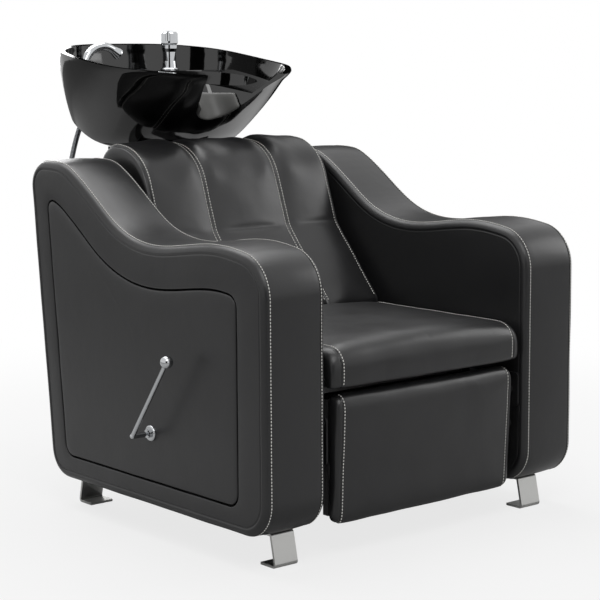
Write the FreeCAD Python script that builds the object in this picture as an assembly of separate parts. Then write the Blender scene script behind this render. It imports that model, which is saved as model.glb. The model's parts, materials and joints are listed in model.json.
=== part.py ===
import FreeCAD, Part
import math
import os

Vector = FreeCAD.Vector

# Hair washing bed: an upholstered seat between two S-shaped arms, with a leg rest raised by a
# side lever, and a tilting ceramic basin with tap and hand shower behind the backrest.
# Millimetres, +Z up. The chair faces -Y, so the user's right hand is on the -X side.
# While modelling, y = 0 is the front seam of the arms, and x = 0 the middle of the seat.

# Whole chair
chair_width = 820.0
floor_gap = 65.0
board = 15.0
thin_board = 12.0
paint_gap = 0.3
run_gap = 0.05
overrun = 60.0
touch = 0.001

# Arms
arm_width = 144.0
arm_front = -12.0
front_crest_y = 144.0
front_crest_z = 599.0
valley_y = 349.0
valley_z = 582.0
rear_crest_y = 708.0
rear_crest_z = 727.0
rear_low_y = 715.0
rear_high_y = 780.0
slope_shares = ((0.30, 0.17), (0.55, 0.56), (0.78, 0.91))
curve_steps = 24
corner_room_share = 2.2
front_rise_share = 0.17
front_top_radius = 82.0
rear_top_radius = 54.0
front_low_radius = 72.0
rear_low_radius = 60.0
arm_edge_radius = 16.0
panel_front_inset = 84.0
panel_low_inset = 50.0
panel_top_inset = 82.0
panel_rear_inset = 62.0
panel_radius = 28.0
panel_tip_radius = 20.0
panel_thick = 8.0
panel_groove = 3.0
panel_edge_radius = 3.0
base_board_inset = 22.0
base_board_front = 110.0
base_board_rear = 590.0

# Feet
foot_bar = 5.0
foot_width = 54.0
foot_sole = 46.0
foot_top = 50.0
foot_front_y = 27.0
foot_rear_y = 693.0
foot_lean = 14.0
foot_bend = 7.0
foot_in = 79.0
screw_radius = 4.0
screw_head_radius = 7.0
screw_head = 4.0
screw_long = 14.0
screw_spacing = 28.0

# Seat
seat_front = -18.0
seat_low = 327.0
seat_seam_z = 407.0
seat_crown = 11.0
seat_seam_in = 23.0
seat_side_gap = 14.0
seat_nose_radius = 38.0
seat_lip = 30.0
seat_small_radius = 10.0
seat_side_drop = 13.0
seat_nose = 3.0
seat_lip_drop = 1.0
seat_section_shares = (-1.0, -0.96, -0.89, -0.6, -0.3, 0.0, 0.3, 0.6, 0.89, 0.96, 1.0)
seat_board_side_gap = 31.0

# Backrest
back_crease_y = 543.0
back_crease_z = 572.0
back_foot_y = 406.0
back_foot_z = 352.0
back_knee_z = 412.0
back_knee_radius = 14.0
back_crease_radius = 6.0
seat_back_gap = 2.0
roll_front_y = 604.0
roll_front_drop = 12.0
roll_radius = 110.0
roll_rear_y = 756.0
roll_rear_z = 760.0
roll_rear_radius = 50.0
back_rear_y = 748.0
back_rear_drop = 92.0
back_heel_y = 490.0
back_puff = 6.0
back_seam_x = 100.0
back_side_gap = 14.0
back_edge_seam_in = 10.0
back_side_drop = 12.0
back_channel = 4.0
back_board_drop = 154.0
back_post_drop = 185.0

# Leg rest
leg_front = -16.0
leg_top = 318.0
leg_low = 64.0
leg_board_front = 25.0
leg_side_gap = 28.0
leg_seam_in = 16.0
leg_radius = 22.0
leg_low_radius = 12.0
leg_rear_radius = 5.0
leg_crown = 4.0
leg_bottom_back = 12.0
leg_side_drop = 6.0
leg_corner_radius = 20.0
leg_corner_share = 0.6
leg_section_shares = (-1.0, -0.985, -0.95, -0.91, -0.6, -0.3, 0.0, 0.3, 0.6, 0.91, 0.95, 0.985, 1.0)
leg_board_in = 6.0
leg_board_margin = 16.0
pivot_y = 26.0
pivot_z = 262.0
pivot_pin_radius = 6.0
bracket_flange = 34.0
bracket_corner = 12.0

# Lever and linkage
shaft_y = 344.0
shaft_z = 214.0
shaft_radius = 10.0
shaft_end_radius = 3.5
bush_wall = 3.0
bush_flange = 3.0
bush_flange_radius = 19.0
bush_length = 24.0
crank_reach = 70.0
plate = 4.0
plate_half_width = 13.0
link_half_width = 8.0
link_thick = 5.0
link_gap = 2.5
link_pin_radius = 5.0
side_plate_gap = 24.0
hanger_thick = 5.0
hanger_high = 70.0
hanger_deep = 44.0
hanger_corner = 8.0
collar_gap = 1.0
escutcheon_radius = 16.0
escutcheon_thick = 7.0
escutcheon_boss_radius = 8.5
escutcheon_boss = 6.0
lever_stand_out = 46.0
hub_radius = 5.5
hub_length = 28.0
hub_socket = 16.0
lever_rod_radius = 4.5
lever_ball_radius = 12.5
ball_reach_share = 0.8
lever_forward = 117.0
lever_up = 161.0
ball_neck = 8.0

# Steel frame
tube_wide = 40.0
tube_wall = 2.5
rail_wide = 25.0
rail_in = 33.0
rail_front = 95.0
rail_rear = 700.0
front_tube_y = 120.0
rear_tube_y = 660.0
low_tube_z = 100.0
low_front_y = 150.0
low_rear_y = 670.0
back_post_wide = 25.0
end_plate = 5.0
flange_margin = 22.0
rear_panel_low = 172.0
rear_panel_high = 636.0
rear_panel_step = 14.0

# Basin stand
post_x = 90.0
post_y = 820.0
post_under_basin = 57.0
gusset = 60.0
head_plate = 6.0
head_hole_gap = 10.0
tilt_y = 885.0
tilt_under_basin = 32.0
tilt_pin_radius = 7.0
ear_thick = 6.0
ear_radius = 16.0
ear_x = 55.0
ear_gap = 0.5
pin_head_radius = 12.0
pin_head = 7.0
clamp_hub_radius = 14.0
clamp_hub = 16.0
clamp_arm = 62.0
clamp_arm_radius = 4.5
clamp_knob_radius = 9.0
cradle_half = 112.0
cradle_front = 796.0
cradle_rear = 924.0
cradle_plate = 6.0

# Basin
basin_deep = 168.0
rim_front_y = 551.0
rim_front_drop = 3.0
rim_rear_y = 1025.0
rim_rear_rise = 65.0
rim_sag = 8.0
rim_half = 246.0
rim_shares = ((0.42, 0.0), (0.52, 0.035), (0.81, 0.20), (0.965, 0.33), (1.0, 0.48),
              (0.99, 0.66), (0.90, 0.84), (0.60, 0.96))
basin_foot_y = 887.0
basin_foot_half_x = 176.0
basin_foot_half_y = 109.0
basin_middle_y = 788.0
front_bulge = 1.0
rear_bulge = 1.85
level_shares = (0.0, 0.08, 0.22, 0.42, 0.66, 0.86, 1.0)
hull_top_share = 1.04
hollow_top_share = 1.6
basin_wall = 13.0
deck_over_roll = 145.0
deck_thick = 13.0
deck_front_y = 893.0
bowl_half = 203.0
bowl_front_y = 703.0
bowl_dent = 38.0
bowl_deep = 148.0
bowl_low_front_y = 776.0
bowl_low_rear_y = 880.0
bowl_low_half = 92.0
bowl_round = 2.4
bowl_points = 24
bowl_side_bulge = 1.8
bowl_depth_shares = (0.0, 0.06, 0.2, 0.45, 0.75, 1.0)
land_slope_share = 0.18
skirt_y = 820.0
skirt_slope_share = 0.5
notch_lip_y = 700.0
notch_lip_drop = 105.0
notch_radius = 50.0
notch_flare = 22.0
notch_rise_share = 0.866
notch_reach = 110.0
notch_high = 240.0
rest_thick = 8.0
rest_high = 60.0
rest_overhang = 5.0
rest_top_drop = 43.0
drain_y = 826.0
drain_radius = 22.0
drain_flange_radius = 34.0
drain_flange = 3.0
drain_wall = 3.0
drain_thread = 30.0
drain_tail_radius = 20.0
drain_drop = 95.0
strainer_radius = 18.5
strainer_cup = 16.0
strainer_rim_radius = 21.0
strainer_rim = 2.0
strainer_hole = 2.5
strainer_knob = 10.0
strainer_holes = 6

# Tap
tap_x = 74.0
tap_y = 940.0
tap_base_radius = 22.0
tap_base = 6.0
tap_radius = 17.5
tap_waist_radius = 15.5
tap_high = 52.0
tap_tail_radius = 16.0
tap_tail = 42.0
tap_inlet_radius = 5.0
tap_inlet_long = 18.0
tap_inlet_x = 7.5
tap_inlet_forward = 6.0
nut_rim = 7.0
tap_nut = 9.0
nut_flats = 6
spindle_radius = 6.0
spindle_long = 34.0
knob_radius = 20.0
knob_high = 30.0
knob_lobes = 4
knob_groove_radius = 7.0
knob_lift = 6.0
knob_cap_radius = 8.0
knob_cap = 2.0

# Hand shower
shower_x = -157.0
shower_y = 945.0
holder_radius = 17.0
holder_flange_radius = 23.0
holder_flange = 3.0
holder_high = 5.0
holder_step = 4.0
holder_tail = 30.0
stem_radius = 9.0
stem_low = 36.0
arch_rise = 1.0
arch_radius = 50.0
arch_turn = 122.0
spray_radius = 13.0
spray_long = 20.0
spray_ring = 4.0

# Shower hose: control points of its hanging loop, right of the holder to the tap's tail
hose_radius = 6.0
hose_points = ((-157, 945, 869), (-157, 945, 838), (-153, 956, 803), (-164, 968, 768), (-177, 977, 706),
               (-188, 982, 642), (-190, 982, 576), (-174, 978, 514), (-136, 972, 466), (-82, 966, 440),
               (-22, 962, 438), (34, 959, 460), (76, 956, 502), (99, 953, 558), (105, 951, 620),
               (101, 950, 682), (90, 949, 742), (79, 948, 798), (74, 948, 844), (74, 948, 863))

half_width = chair_width / 2
arm_inner = half_width - arm_width
foot_x = half_width - foot_in
seat_half = arm_inner - seat_side_gap
seat_seam_x = seat_half - seat_seam_in
seat_rear = back_foot_y - back_puff * 0.5 - seat_back_gap
seat_board_half = arm_inner - seat_board_side_gap
seat_board_z = seat_low + seat_lip_drop
rail_x = seat_board_half - rail_in
back_half = arm_inner - back_side_gap
back_edge_seam_x = back_half - back_edge_seam_in
roll_front_z = roll_rear_z - roll_front_drop
back_rear_z = roll_rear_z - back_rear_drop
back_board_top = roll_rear_z - back_board_drop
back_post_top = roll_rear_z - back_post_drop
leg_half = arm_inner - leg_side_gap
leg_seam_x = leg_half - leg_seam_in
leg_board_half = leg_half - leg_board_in
side_plate_x = arm_inner - side_plate_gap
deck_z = roll_rear_z + deck_over_roll
basin_low_z = deck_z - basin_deep
rim_front_z = deck_z - rim_front_drop
rim_rear_z = deck_z + rim_rear_rise
bowl_low_z = deck_z - bowl_deep
notch_lip_z = deck_z - notch_lip_drop
rest_top_z = deck_z - rest_top_drop
tilt_z = basin_low_z - tilt_under_basin
post_high = basin_low_z - post_under_basin
seat_tube_z = seat_board_z - 1.5 * tube_wide
# The origin is midway between the left arm and the lever ball, a fifth of the ball left out
origin_x = -(lever_stand_out + lever_ball_radius * ball_reach_share) / 2
origin_y = (seat_front + rim_rear_y) / 2
shift = Vector(-origin_x, -origin_y, 0)
sides = (("left", 1), ("right", -1))


# Building blocks

def box(x_low, x_high, y_low, y_high, z_low, z_high):
    size = (x_high - x_low, y_high - y_low, z_high - z_low)
    return Part.makeBox(*size, Vector(x_low, y_low, z_low))


def round_bar(radius, start, end):
    return Part.makeCylinder(radius, (end - start).Length, start, end - start)


def square_tube_y(x, z, wide, high, y_low, y_high):
    outer = box(x - wide / 2, x + wide / 2, y_low, y_high, z - high / 2, z + high / 2)
    inner_wide = wide / 2 - tube_wall
    inner_high = high / 2 - tube_wall
    return outer.cut(box(x - inner_wide, x + inner_wide, y_low - overrun, y_high + overrun,
                         z - inner_high, z + inner_high))


def square_tube_x(y, z, wide, x_low, x_high):
    outer = box(x_low, x_high, y - wide / 2, y + wide / 2, z - wide / 2, z + wide / 2)
    inner = wide / 2 - tube_wall
    return outer.cut(box(x_low - overrun, x_high + overrun, y - inner, y + inner, z - inner, z + inner))


def square_tube_z(x, y, wide, z_low, z_high):
    outer = box(x - wide / 2, x + wide / 2, y - wide / 2, y + wide / 2, z_low, z_high)
    inner = wide / 2 - tube_wall
    return outer.cut(box(x - inner, x + inner, y - inner, y + inner, z_low - overrun, z_high + overrun))


def mirrored(shape, side):
    if side > 0:
        return shape
    return shape.mirror(Vector(0, 0, 0), Vector(1, 0, 0))


def corner_arc(before, corner, after, radius):
    to_before = (before - corner).normalize()
    to_after = (after - corner).normalize()
    half = to_before.getAngle(to_after) / 2
    reach = radius / math.tan(half)
    inward = (to_before + to_after).normalize()
    middle = corner + inward * (radius / math.sin(half) - radius)
    return corner + to_before * reach, middle, corner + to_after * reach


def rounded_wire(x, corners):
    """A closed outline in the plane at x, from (y, z, radius) corners."""
    points = [Vector(x, y, z) for y, z, radius in corners]
    edges = []
    ends = []
    for index, (y, z, radius) in enumerate(corners):
        point = points[index]
        if radius == 0:
            ends.append((point, point))
            continue
        after = points[(index + 1) % len(points)]
        start, middle, end = corner_arc(points[index - 1], point, after, radius)
        ends.append((start, end))
        edges.append(Part.Arc(start, middle, end).toShape())
    for index, (start, end) in enumerate(ends):
        following = ends[(index + 1) % len(ends)][0]
        edges.append(Part.makeLine(end, following))
    return Part.Wire(Part.__sortEdges__(edges))


def slab_x(corners, x_low, x_high):
    wire = rounded_wire(x_low, corners)
    return Part.Face(wire).extrude(Vector(x_high - x_low, 0, 0))


def bent_bar(points, thickness, x_low, x_high, radius):
    """A flat bar bent along (y, z) points, its thickness on the left of the way they run."""
    path = [Vector(0, y, z) for y, z in points]
    near = []
    far = []
    for index, point in enumerate(path):
        before = (point - path[index - 1]).normalize() if index else None
        after = (path[index + 1] - point).normalize() if index + 1 < len(path) else None
        one = after if before is None else before
        two = before if after is None else after
        left_one = Vector(0, -one.z, one.y)
        left_two = Vector(0, -two.z, two.y)
        middle = (left_one + left_two).normalize()
        reach = thickness / middle.dot(left_one)
        turn = one.cross(two).x
        outer = 0
        inner = 0
        if before is not None and after is not None:
            outer = radius
            inner = max(radius - thickness, thickness / 4)
        near.append((point.y, point.z, inner if turn < 0 else outer))
        moved = point + middle * reach
        far.append((moved.y, moved.z, outer if turn < 0 else inner))
    return slab_x(near + far[::-1], x_low, x_high)


def screw(head_at, direction, length, radius, head_radius, head_high):
    body = round_bar(radius, head_at, head_at + direction * length)
    head = round_bar(head_radius, head_at - direction * head_high, head_at)
    return body.fuse(head).removeSplitter()


def plate_link(x_low, thickness, start, end, half_width, hole_one, hole_two):
    """A flat link with round ends between two (y, z) centres, with a hole at each."""
    one = Vector(x_low, *start)
    two = Vector(x_low, *end)
    along = (two - one).normalize()
    across = Vector(0, -along.z, along.y) * half_width
    arc_one = Part.Arc(one + across, one - along * half_width, one - across).toShape()
    arc_two = Part.Arc(two - across, two + along * half_width, two + across).toShape()
    lines = [Part.makeLine(one - across, two - across), Part.makeLine(two + across, one + across)]
    face = Part.Face(Part.Wire([arc_one, lines[0], arc_two, lines[1]]))
    link = face.extrude(Vector(thickness, 0, 0))
    for centre, hole in ((one, hole_one), (two, hole_two)):
        if hole:
            reach = Vector(overrun, 0, 0)
            link = link.cut(round_bar(hole, centre - reach, centre + reach))
    return link


# Arms

def side_rims(solid, x):
    """The edges of a solid that lie in the plane at x."""
    return [edge for edge in solid.Edges
            if abs(edge.BoundBox.XMin - x) < paint_gap and abs(edge.BoundBox.XMax - x) < paint_gap]


def bore(shape, radius, start, end):
    return shape.cut(round_bar(radius, start, end))


def arm_top_curve(inset, y_low, y_high):
    """The S-curve along the arm's top, or a curve the inset below it between two y values."""
    run = rear_crest_y - valley_y
    rise = rear_crest_z - valley_z
    start_y = arm_front + front_top_radius
    start_z = front_crest_z - (front_crest_y - start_y) * front_rise_share * 0.5
    places = [(start_y, start_z), (front_crest_y, front_crest_z), (valley_y, valley_z)]
    places += [(valley_y + run * along, valley_z + rise * up) for along, up in slope_shares]
    places.append((rear_crest_y, rear_crest_z))
    curve = Part.BSplineCurve()
    curve.interpolate(Points=[Vector(0, y, z) for y, z in places],
                      InitialTangent=Vector(0, 1, front_rise_share) * run * 0.4,
                      FinalTangent=Vector(0, 1, 0) * run * 0.4)
    if inset == 0:
        return curve
    moved = []
    for step in range(curve_steps + 1):
        at = curve.FirstParameter + (curve.LastParameter - curve.FirstParameter) * step / curve_steps
        tangent = curve.tangent(at)[0]
        point = curve.value(at) + Vector(0, tangent.z, -tangent.y) * inset
        if y_low < point.y < y_high:
            moved.append(point)
    inner = Part.BSplineCurve()
    inner.interpolate(Points=moved)
    return inner


def arm_outline(front, low, top, rear, radii):
    """The arm's side outline in the plane x = 0, drawn in from each side by its inset."""
    front_y = arm_front + front
    low_z = floor_gap + low
    lean = (rear_high_y - rear_low_y) / (rear_crest_z - floor_gap)
    rear_y = rear_low_y - rear
    rear_limit = rear_y + lean * (rear_crest_z - floor_gap) - radii[2] * corner_room_share
    curve = arm_top_curve(top, front_y + radii[1], rear_limit)
    first = curve.StartPoint
    last = curve.EndPoint
    first_way = curve.tangent(curve.FirstParameter)[0]
    last_way = curve.tangent(curve.LastParameter)[0]
    to_front = (front_y - first.y) / first_way.y
    to_rear = (rear_y + lean * (last.z - floor_gap) - last.y) / (last_way.y - lean * last_way.z)
    corner_front_low = Vector(0, front_y, low_z)
    corner_front_top = first + first_way * to_front
    corner_rear_top = last + last_way * to_rear
    corner_rear_low = Vector(0, rear_y + lean * low, low_z)
    arcs = [corner_arc(corner_rear_low, corner_front_low, corner_front_top, radii[0]),
            corner_arc(corner_front_low, corner_front_top, first, radii[1]),
            corner_arc(last, corner_rear_top, corner_rear_low, radii[2]),
            corner_arc(corner_rear_top, corner_rear_low, corner_front_low, radii[3])]
    edges = [Part.Arc(*arc).toShape() for arc in arcs]
    joins = [(arcs[0][2], arcs[1][0]), (arcs[1][2], first), (last, arcs[2][0]),
             (arcs[2][2], arcs[3][0]), (arcs[3][2], arcs[0][0])]
    for start, end in joins:
        if (end - start).Length > touch:
            edges.append(Part.makeLine(start, end))
    edges.append(curve.toShape())
    return Part.Wire(Part.__sortEdges__(edges))


def arm_solid(front, low, top, rear, radii, x_low, x_high):
    face = Part.Face(arm_outline(front, low, top, rear, radii))
    solid = face.extrude(Vector(x_high - x_low, 0, 0))
    solid.translate(Vector(x_low, 0, 0))
    return solid


def panel_solid(gap, thickness):
    radii = [radius - gap for radius in (panel_radius, panel_radius, panel_tip_radius, panel_radius)]
    return arm_solid(panel_front_inset + gap, panel_low_inset + gap, panel_top_inset + gap,
                     panel_rear_inset + gap, radii, half_width - thickness, half_width)


def arm_body(sign):
    radii = (front_low_radius, front_top_radius, rear_top_radius, rear_low_radius)
    solid = arm_solid(0, 0, 0, 0, radii, arm_inner, half_width)
    rims = side_rims(solid, arm_inner) + side_rims(solid, half_width)
    solid = solid.makeFillet(arm_edge_radius, rims)
    solid = solid.cut(panel_solid(0, panel_thick)).cut(base_board(0))
    for x, y in foot_screw_places():
        low = Vector(x, y, floor_gap)
        solid = bore(solid, screw_radius + run_gap, low, low + Vector(0, 0, screw_long))
    for y, z in flange_screw_places():
        face = Vector(arm_inner, y, z)
        solid = bore(solid, screw_radius + run_gap, face, face + Vector(screw_long, 0, 0))
    depth = half_width if sign < 0 else arm_inner + bush_length
    solid = bore(solid, shaft_radius + bush_wall, Vector(arm_inner, shaft_y, shaft_z),
                 Vector(depth, shaft_y, shaft_z))
    return mirrored(solid, sign)


def arm_side_panel(sign):
    solid = panel_solid(panel_groove, panel_thick)
    solid = solid.makeFillet(panel_edge_radius, side_rims(solid, half_width))
    if sign < 0:
        outer = Vector(half_width, shaft_y, shaft_z)
        solid = bore(solid, shaft_radius + bush_wall, outer - Vector(panel_thick, 0, 0), outer)
    return mirrored(solid, sign)


def base_board(gap):
    """The board let into the arm's underside, the gap smaller all round."""
    x_low = arm_inner + base_board_inset + gap
    x_high = half_width - base_board_inset - gap
    top = floor_gap + thin_board - gap
    return box(x_low, x_high, base_board_front + gap, base_board_rear - gap, floor_gap, top)


# Feet and fasteners

def foot_screw_places():
    reach = foot_lean + foot_top * 0.6
    return [(foot_x + side * screw_spacing / 2, y) for side in (1, -1)
            for y in (foot_front_y + reach, foot_rear_y - reach)]


def foot(end, sign):
    heel = foot_front_y + foot_lean
    toe = foot_front_y
    points = [(heel + foot_top, floor_gap), (heel, floor_gap), (toe, 0), (toe + foot_sole, 0)]
    bar = bent_bar(points, foot_bar, foot_x - foot_width / 2, foot_x + foot_width / 2, foot_bend)
    for x, y in foot_screw_places():
        head = Vector(x, y, floor_gap - foot_bar)
        bar = bore(bar, screw_radius + paint_gap, head, Vector(x, y, floor_gap))
    if end == "rear":
        middle = (foot_front_y + foot_rear_y) / 2
        bar = bar.mirror(Vector(0, middle, 0), Vector(0, 1, 0))
    return mirrored(bar, sign)


def cross_tube_places():
    return ((front_tube_y, seat_tube_z), (rear_tube_y, seat_tube_z),
            (low_front_y, low_tube_z), (low_rear_y, low_tube_z))


def flange_screw_places():
    reach = tube_wide / 2 + flange_margin / 2
    return [(y + side * reach, z) for y, z in cross_tube_places() for side in (1, -1)]


def screws():
    solids = []
    for name, sign in sides:
        for x, y in foot_screw_places():
            start = Vector(x, y, floor_gap - foot_bar)
            one = screw(start, Vector(0, 0, 1), foot_bar + screw_long - run_gap, screw_radius,
                        screw_head_radius, screw_head)
            solids.append(mirrored(one, sign))
        for y, z in flange_screw_places():
            start = Vector(arm_inner - end_plate, y, z)
            one = screw(start, Vector(1, 0, 0), end_plate + screw_long - run_gap, screw_radius,
                        screw_head_radius, screw_head)
            solids.append(mirrored(one, sign))
    return Part.makeCompound(solids)


# Steel frame

def cross_tube(y, z):
    tube = square_tube_x(y, z, tube_wide, -arm_inner, arm_inner)
    half = tube_wide / 2
    reach = half + flange_margin
    for sign in (1, -1):
        flange = box(arm_inner - end_plate, arm_inner, y - reach, y + reach, z - half, z + half)
        for place in (y - reach + flange_margin / 2, y + reach - flange_margin / 2):
            flange = bore(flange, screw_radius + paint_gap, Vector(arm_inner - end_plate, place, z),
                          Vector(arm_inner, place, z))
        tube = tube.fuse(mirrored(flange, sign))
    return tube.removeSplitter()


def seat_rail(sign):
    z = seat_board_z - tube_wide / 2
    return mirrored(square_tube_y(rail_x, z, rail_wide, tube_wide, rail_front, rail_rear), sign)


def behind_back(offset, z):
    """The y of a line parallel to the backrest's rear face, the offset behind it."""
    lean = (back_rear_y - back_heel_y) / (back_rear_z - back_foot_z)
    return back_heel_y + (z - back_foot_z) * lean + offset * math.hypot(1, lean)


def behind_slab(near, far, z_low, z_high, x_low, x_high):
    corners = [(behind_back(near, z_low), z_low, 0), (behind_back(near, z_high), z_high, 0),
               (behind_back(far, z_high), z_high, 0), (behind_back(far, z_low), z_low, 0)]
    return slab_x(corners, x_low, x_high)


def back_post(sign):
    post = behind_slab(board, board + back_post_wide, seat_board_z, back_post_top,
                       rail_x - back_post_wide / 2, rail_x + back_post_wide / 2)
    return mirrored(post, sign)


def rear_panel():
    lean = (rear_high_y - rear_low_y) / (rear_crest_z - floor_gap)
    low_y = rear_low_y + (rear_panel_low - floor_gap) * lean - rear_panel_step
    high_y = rear_low_y + (rear_panel_high - floor_gap) * lean - rear_panel_step
    corners = [(low_y, rear_panel_low, 0), (high_y, rear_panel_high, 0),
               (high_y - thin_board, rear_panel_high, 0), (low_y - thin_board, rear_panel_low, 0)]
    return slab_x(corners, paint_gap - arm_inner, arm_inner - paint_gap)


# Seat

def seat_section(x, top, front, low):
    heel = seat_front + seat_lip
    corners = [(front, low, seat_small_radius), (front, top, seat_nose_radius),
               (seat_rear, top, seat_small_radius), (seat_rear, seat_board_z + board, 0),
               (heel, seat_board_z + board, 0), (heel, low, 0)]
    return rounded_wire(x, corners)


def seat_cushion():
    sections = []
    for share in seat_section_shares:
        x = seat_half * share
        past_seam = max(0.0, abs(x) - seat_seam_x) / (seat_half - seat_seam_x)
        swell = max(0.0, 1 - (x / seat_seam_x) ** 2)
        top = seat_seam_z + seat_crown * swell - seat_side_drop * past_seam ** 2
        front = seat_front + seat_side_drop * 0.7 * past_seam ** 2 + seat_nose * (1 - swell)
        sections.append(seat_section(x, top, front, seat_low))
    return Part.makeLoft(sections, True, False)


def seat_board():
    return box(-seat_board_half, seat_board_half, seat_front + seat_lip, back_heel_y - board,
               seat_board_z, seat_board_z + board)


# Backrest

def back_section(x, puff):
    corners = [(back_foot_y, back_foot_z, seat_small_radius),
               (back_foot_y - puff * 0.5, back_knee_z + puff * 0.3, back_knee_radius),
               (back_crease_y - puff * 0.3, back_crease_z + puff * 0.2, back_crease_radius),
               (roll_front_y - puff * 0.6, roll_front_z + puff * 0.7, roll_radius),
               (roll_rear_y + puff * 0.4, roll_rear_z + puff, roll_rear_radius),
               (back_rear_y, back_rear_z, seat_small_radius),
               (back_heel_y, back_foot_z, seat_small_radius)]
    return rounded_wire(x, corners)


def back_cushion():
    half = [(0.0, back_puff), (back_seam_x * 0.55, back_puff * 0.8), (back_seam_x * 0.93, 0.0),
            (back_seam_x, -back_channel), (back_seam_x * 1.07, 0.0),
            ((back_seam_x + back_edge_seam_x) / 2, back_puff), (back_edge_seam_x * 0.94, back_puff * 0.5),
            (back_edge_seam_x, 0.0), ((back_edge_seam_x + back_half) / 2, -back_side_drop * 0.3),
            (back_half, -back_side_drop)]
    places = [(-x, puff) for x, puff in half[:0:-1]] + half
    return Part.makeLoft([back_section(x, puff) for x, puff in places], True, False)


def back_board():
    return behind_slab(0, board, back_foot_z + paint_gap, back_board_top, -seat_board_half, seat_board_half)


# Leg rest

def leg_rest_section(x, puff, round_off):
    top = leg_top - round_off
    low = leg_low + round_off
    corners = [(leg_front + leg_crown + leg_bottom_back - puff, low, leg_low_radius),
               (leg_front + leg_crown - puff, top, leg_radius),
               (leg_board_front, top, leg_rear_radius),
               (leg_board_front, low, leg_rear_radius)]
    return rounded_wire(x, corners)


def leg_rest_cushion():
    sections = []
    for share in leg_section_shares:
        x = leg_half * share
        past_seam = max(0.0, abs(x) - leg_seam_x) / (leg_half - leg_seam_x)
        swell = max(0.0, 1 - (x / leg_seam_x) ** 2)
        into_corner = max(0.0, abs(x) - leg_half + leg_corner_radius)
        round_off = leg_corner_radius - math.sqrt(leg_corner_radius ** 2 - into_corner ** 2)
        puff = leg_crown * swell - leg_side_drop * past_seam ** 2
        sections.append(leg_rest_section(x, puff, min(round_off, leg_corner_radius * leg_corner_share)))
    return Part.makeLoft(sections, True, False)


def leg_rest_board():
    return box(-leg_board_half, leg_board_half, leg_board_front, leg_board_front + board,
               leg_low + leg_board_margin, leg_top - leg_board_margin)


def link_pin(x, y, z):
    """A stud on a plate's outer face that carries the link, with a retaining head."""
    stud_end = Vector(x + link_gap + link_thick + link_gap / 2, y, z)
    stud = round_bar(link_pin_radius, Vector(x, y, z), stud_end)
    return stud.fuse(round_bar(link_pin_radius * 1.6, stud_end, stud_end + Vector(link_gap, 0, 0)))


def leg_rest_bracket(sign):
    rear = leg_board_front + board
    low_z = pivot_z - crank_reach - plate_half_width
    front = pivot_y - plate_half_width
    top_z = pivot_z + plate_half_width
    corners = [(front, low_z, bracket_corner), (front, top_z, bracket_corner),
               (rear + plate, top_z, 0), (rear + plate, low_z, 0)]
    side_plate = slab_x(corners, side_plate_x, side_plate_x + plate)
    flange = box(leg_board_half - bracket_flange, side_plate_x, rear, rear + plate, low_z, top_z)
    bracket = side_plate.fuse(flange)
    bracket = bore(bracket, pivot_pin_radius + run_gap, Vector(side_plate_x, pivot_y, pivot_z),
                   Vector(side_plate_x + plate, pivot_y, pivot_z))
    bracket = bracket.fuse(link_pin(side_plate_x + plate, pivot_y, pivot_z - crank_reach))
    return mirrored(bracket.removeSplitter(), sign)


def leg_rest_hanger(sign):
    """The plate on the arm's inner face with the stud on which the leg rest swings."""
    near = arm_inner - hanger_thick
    corners = [(pivot_y - hanger_deep / 2, pivot_z - hanger_high / 2, hanger_corner),
               (pivot_y - hanger_deep / 2, pivot_z + hanger_high / 2, hanger_corner),
               (pivot_y + hanger_deep / 2, pivot_z + hanger_high / 2, hanger_corner),
               (pivot_y + hanger_deep / 2, pivot_z - hanger_high / 2, hanger_corner)]
    hanger = slab_x(corners, near, arm_inner)
    centre = Vector(near, pivot_y, pivot_z)
    stud = round_bar(pivot_pin_radius, Vector(side_plate_x - collar_gap, pivot_y, pivot_z), centre)
    collar_start = Vector(side_plate_x + plate + collar_gap, pivot_y, pivot_z)
    collar = round_bar(pivot_pin_radius * 1.5, collar_start, centre)
    return mirrored(hanger.fuse([stud, collar]).removeSplitter(), sign)


# Lever and linkage

def shaft_bush(sign):
    start = Vector(arm_inner - bush_flange, shaft_y, shaft_z)
    bush = round_bar(bush_flange_radius, start, Vector(arm_inner, shaft_y, shaft_z))
    end = Vector(arm_inner + bush_length, shaft_y, shaft_z)
    bush = bush.fuse(round_bar(shaft_radius + bush_wall, start, end)).removeSplitter()
    return mirrored(bore(bush, shaft_radius + run_gap, start, end), sign)


def lever_escutcheon():
    face = Vector(-half_width, shaft_y, shaft_z)
    rim = Vector(-half_width - escutcheon_thick, shaft_y, shaft_z)
    end = Vector(-half_width - escutcheon_thick - escutcheon_boss, shaft_y, shaft_z)
    dish = round_bar(escutcheon_radius, rim, face)
    outer = [edge for edge in dish.Edges if edge.Length > escutcheon_radius and
             abs(edge.BoundBox.XMax - rim.x) < paint_gap]
    dish = dish.makeFillet(escutcheon_thick / 2, outer)
    boss = round_bar(escutcheon_boss_radius, end, face)
    return bore(dish.fuse(boss).removeSplitter(), shaft_end_radius + run_gap, end, face)


def cross_shaft():
    left_end = Vector(arm_inner + bush_length - bush_flange, shaft_y, shaft_z)
    shoulder = Vector(panel_thick - half_width, shaft_y, shaft_z)
    right_end = Vector(hub_length - hub_socket - half_width - lever_stand_out, shaft_y, shaft_z)
    shaft = round_bar(shaft_radius, shoulder, left_end)
    return shaft.fuse(round_bar(shaft_end_radius, right_end, shoulder)).removeSplitter()


def lever_places():
    x = -half_width - lever_stand_out
    bend = Vector(x, shaft_y, shaft_z)
    ball = Vector(x, shaft_y - lever_forward, shaft_z + lever_up)
    return bend, ball


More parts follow.
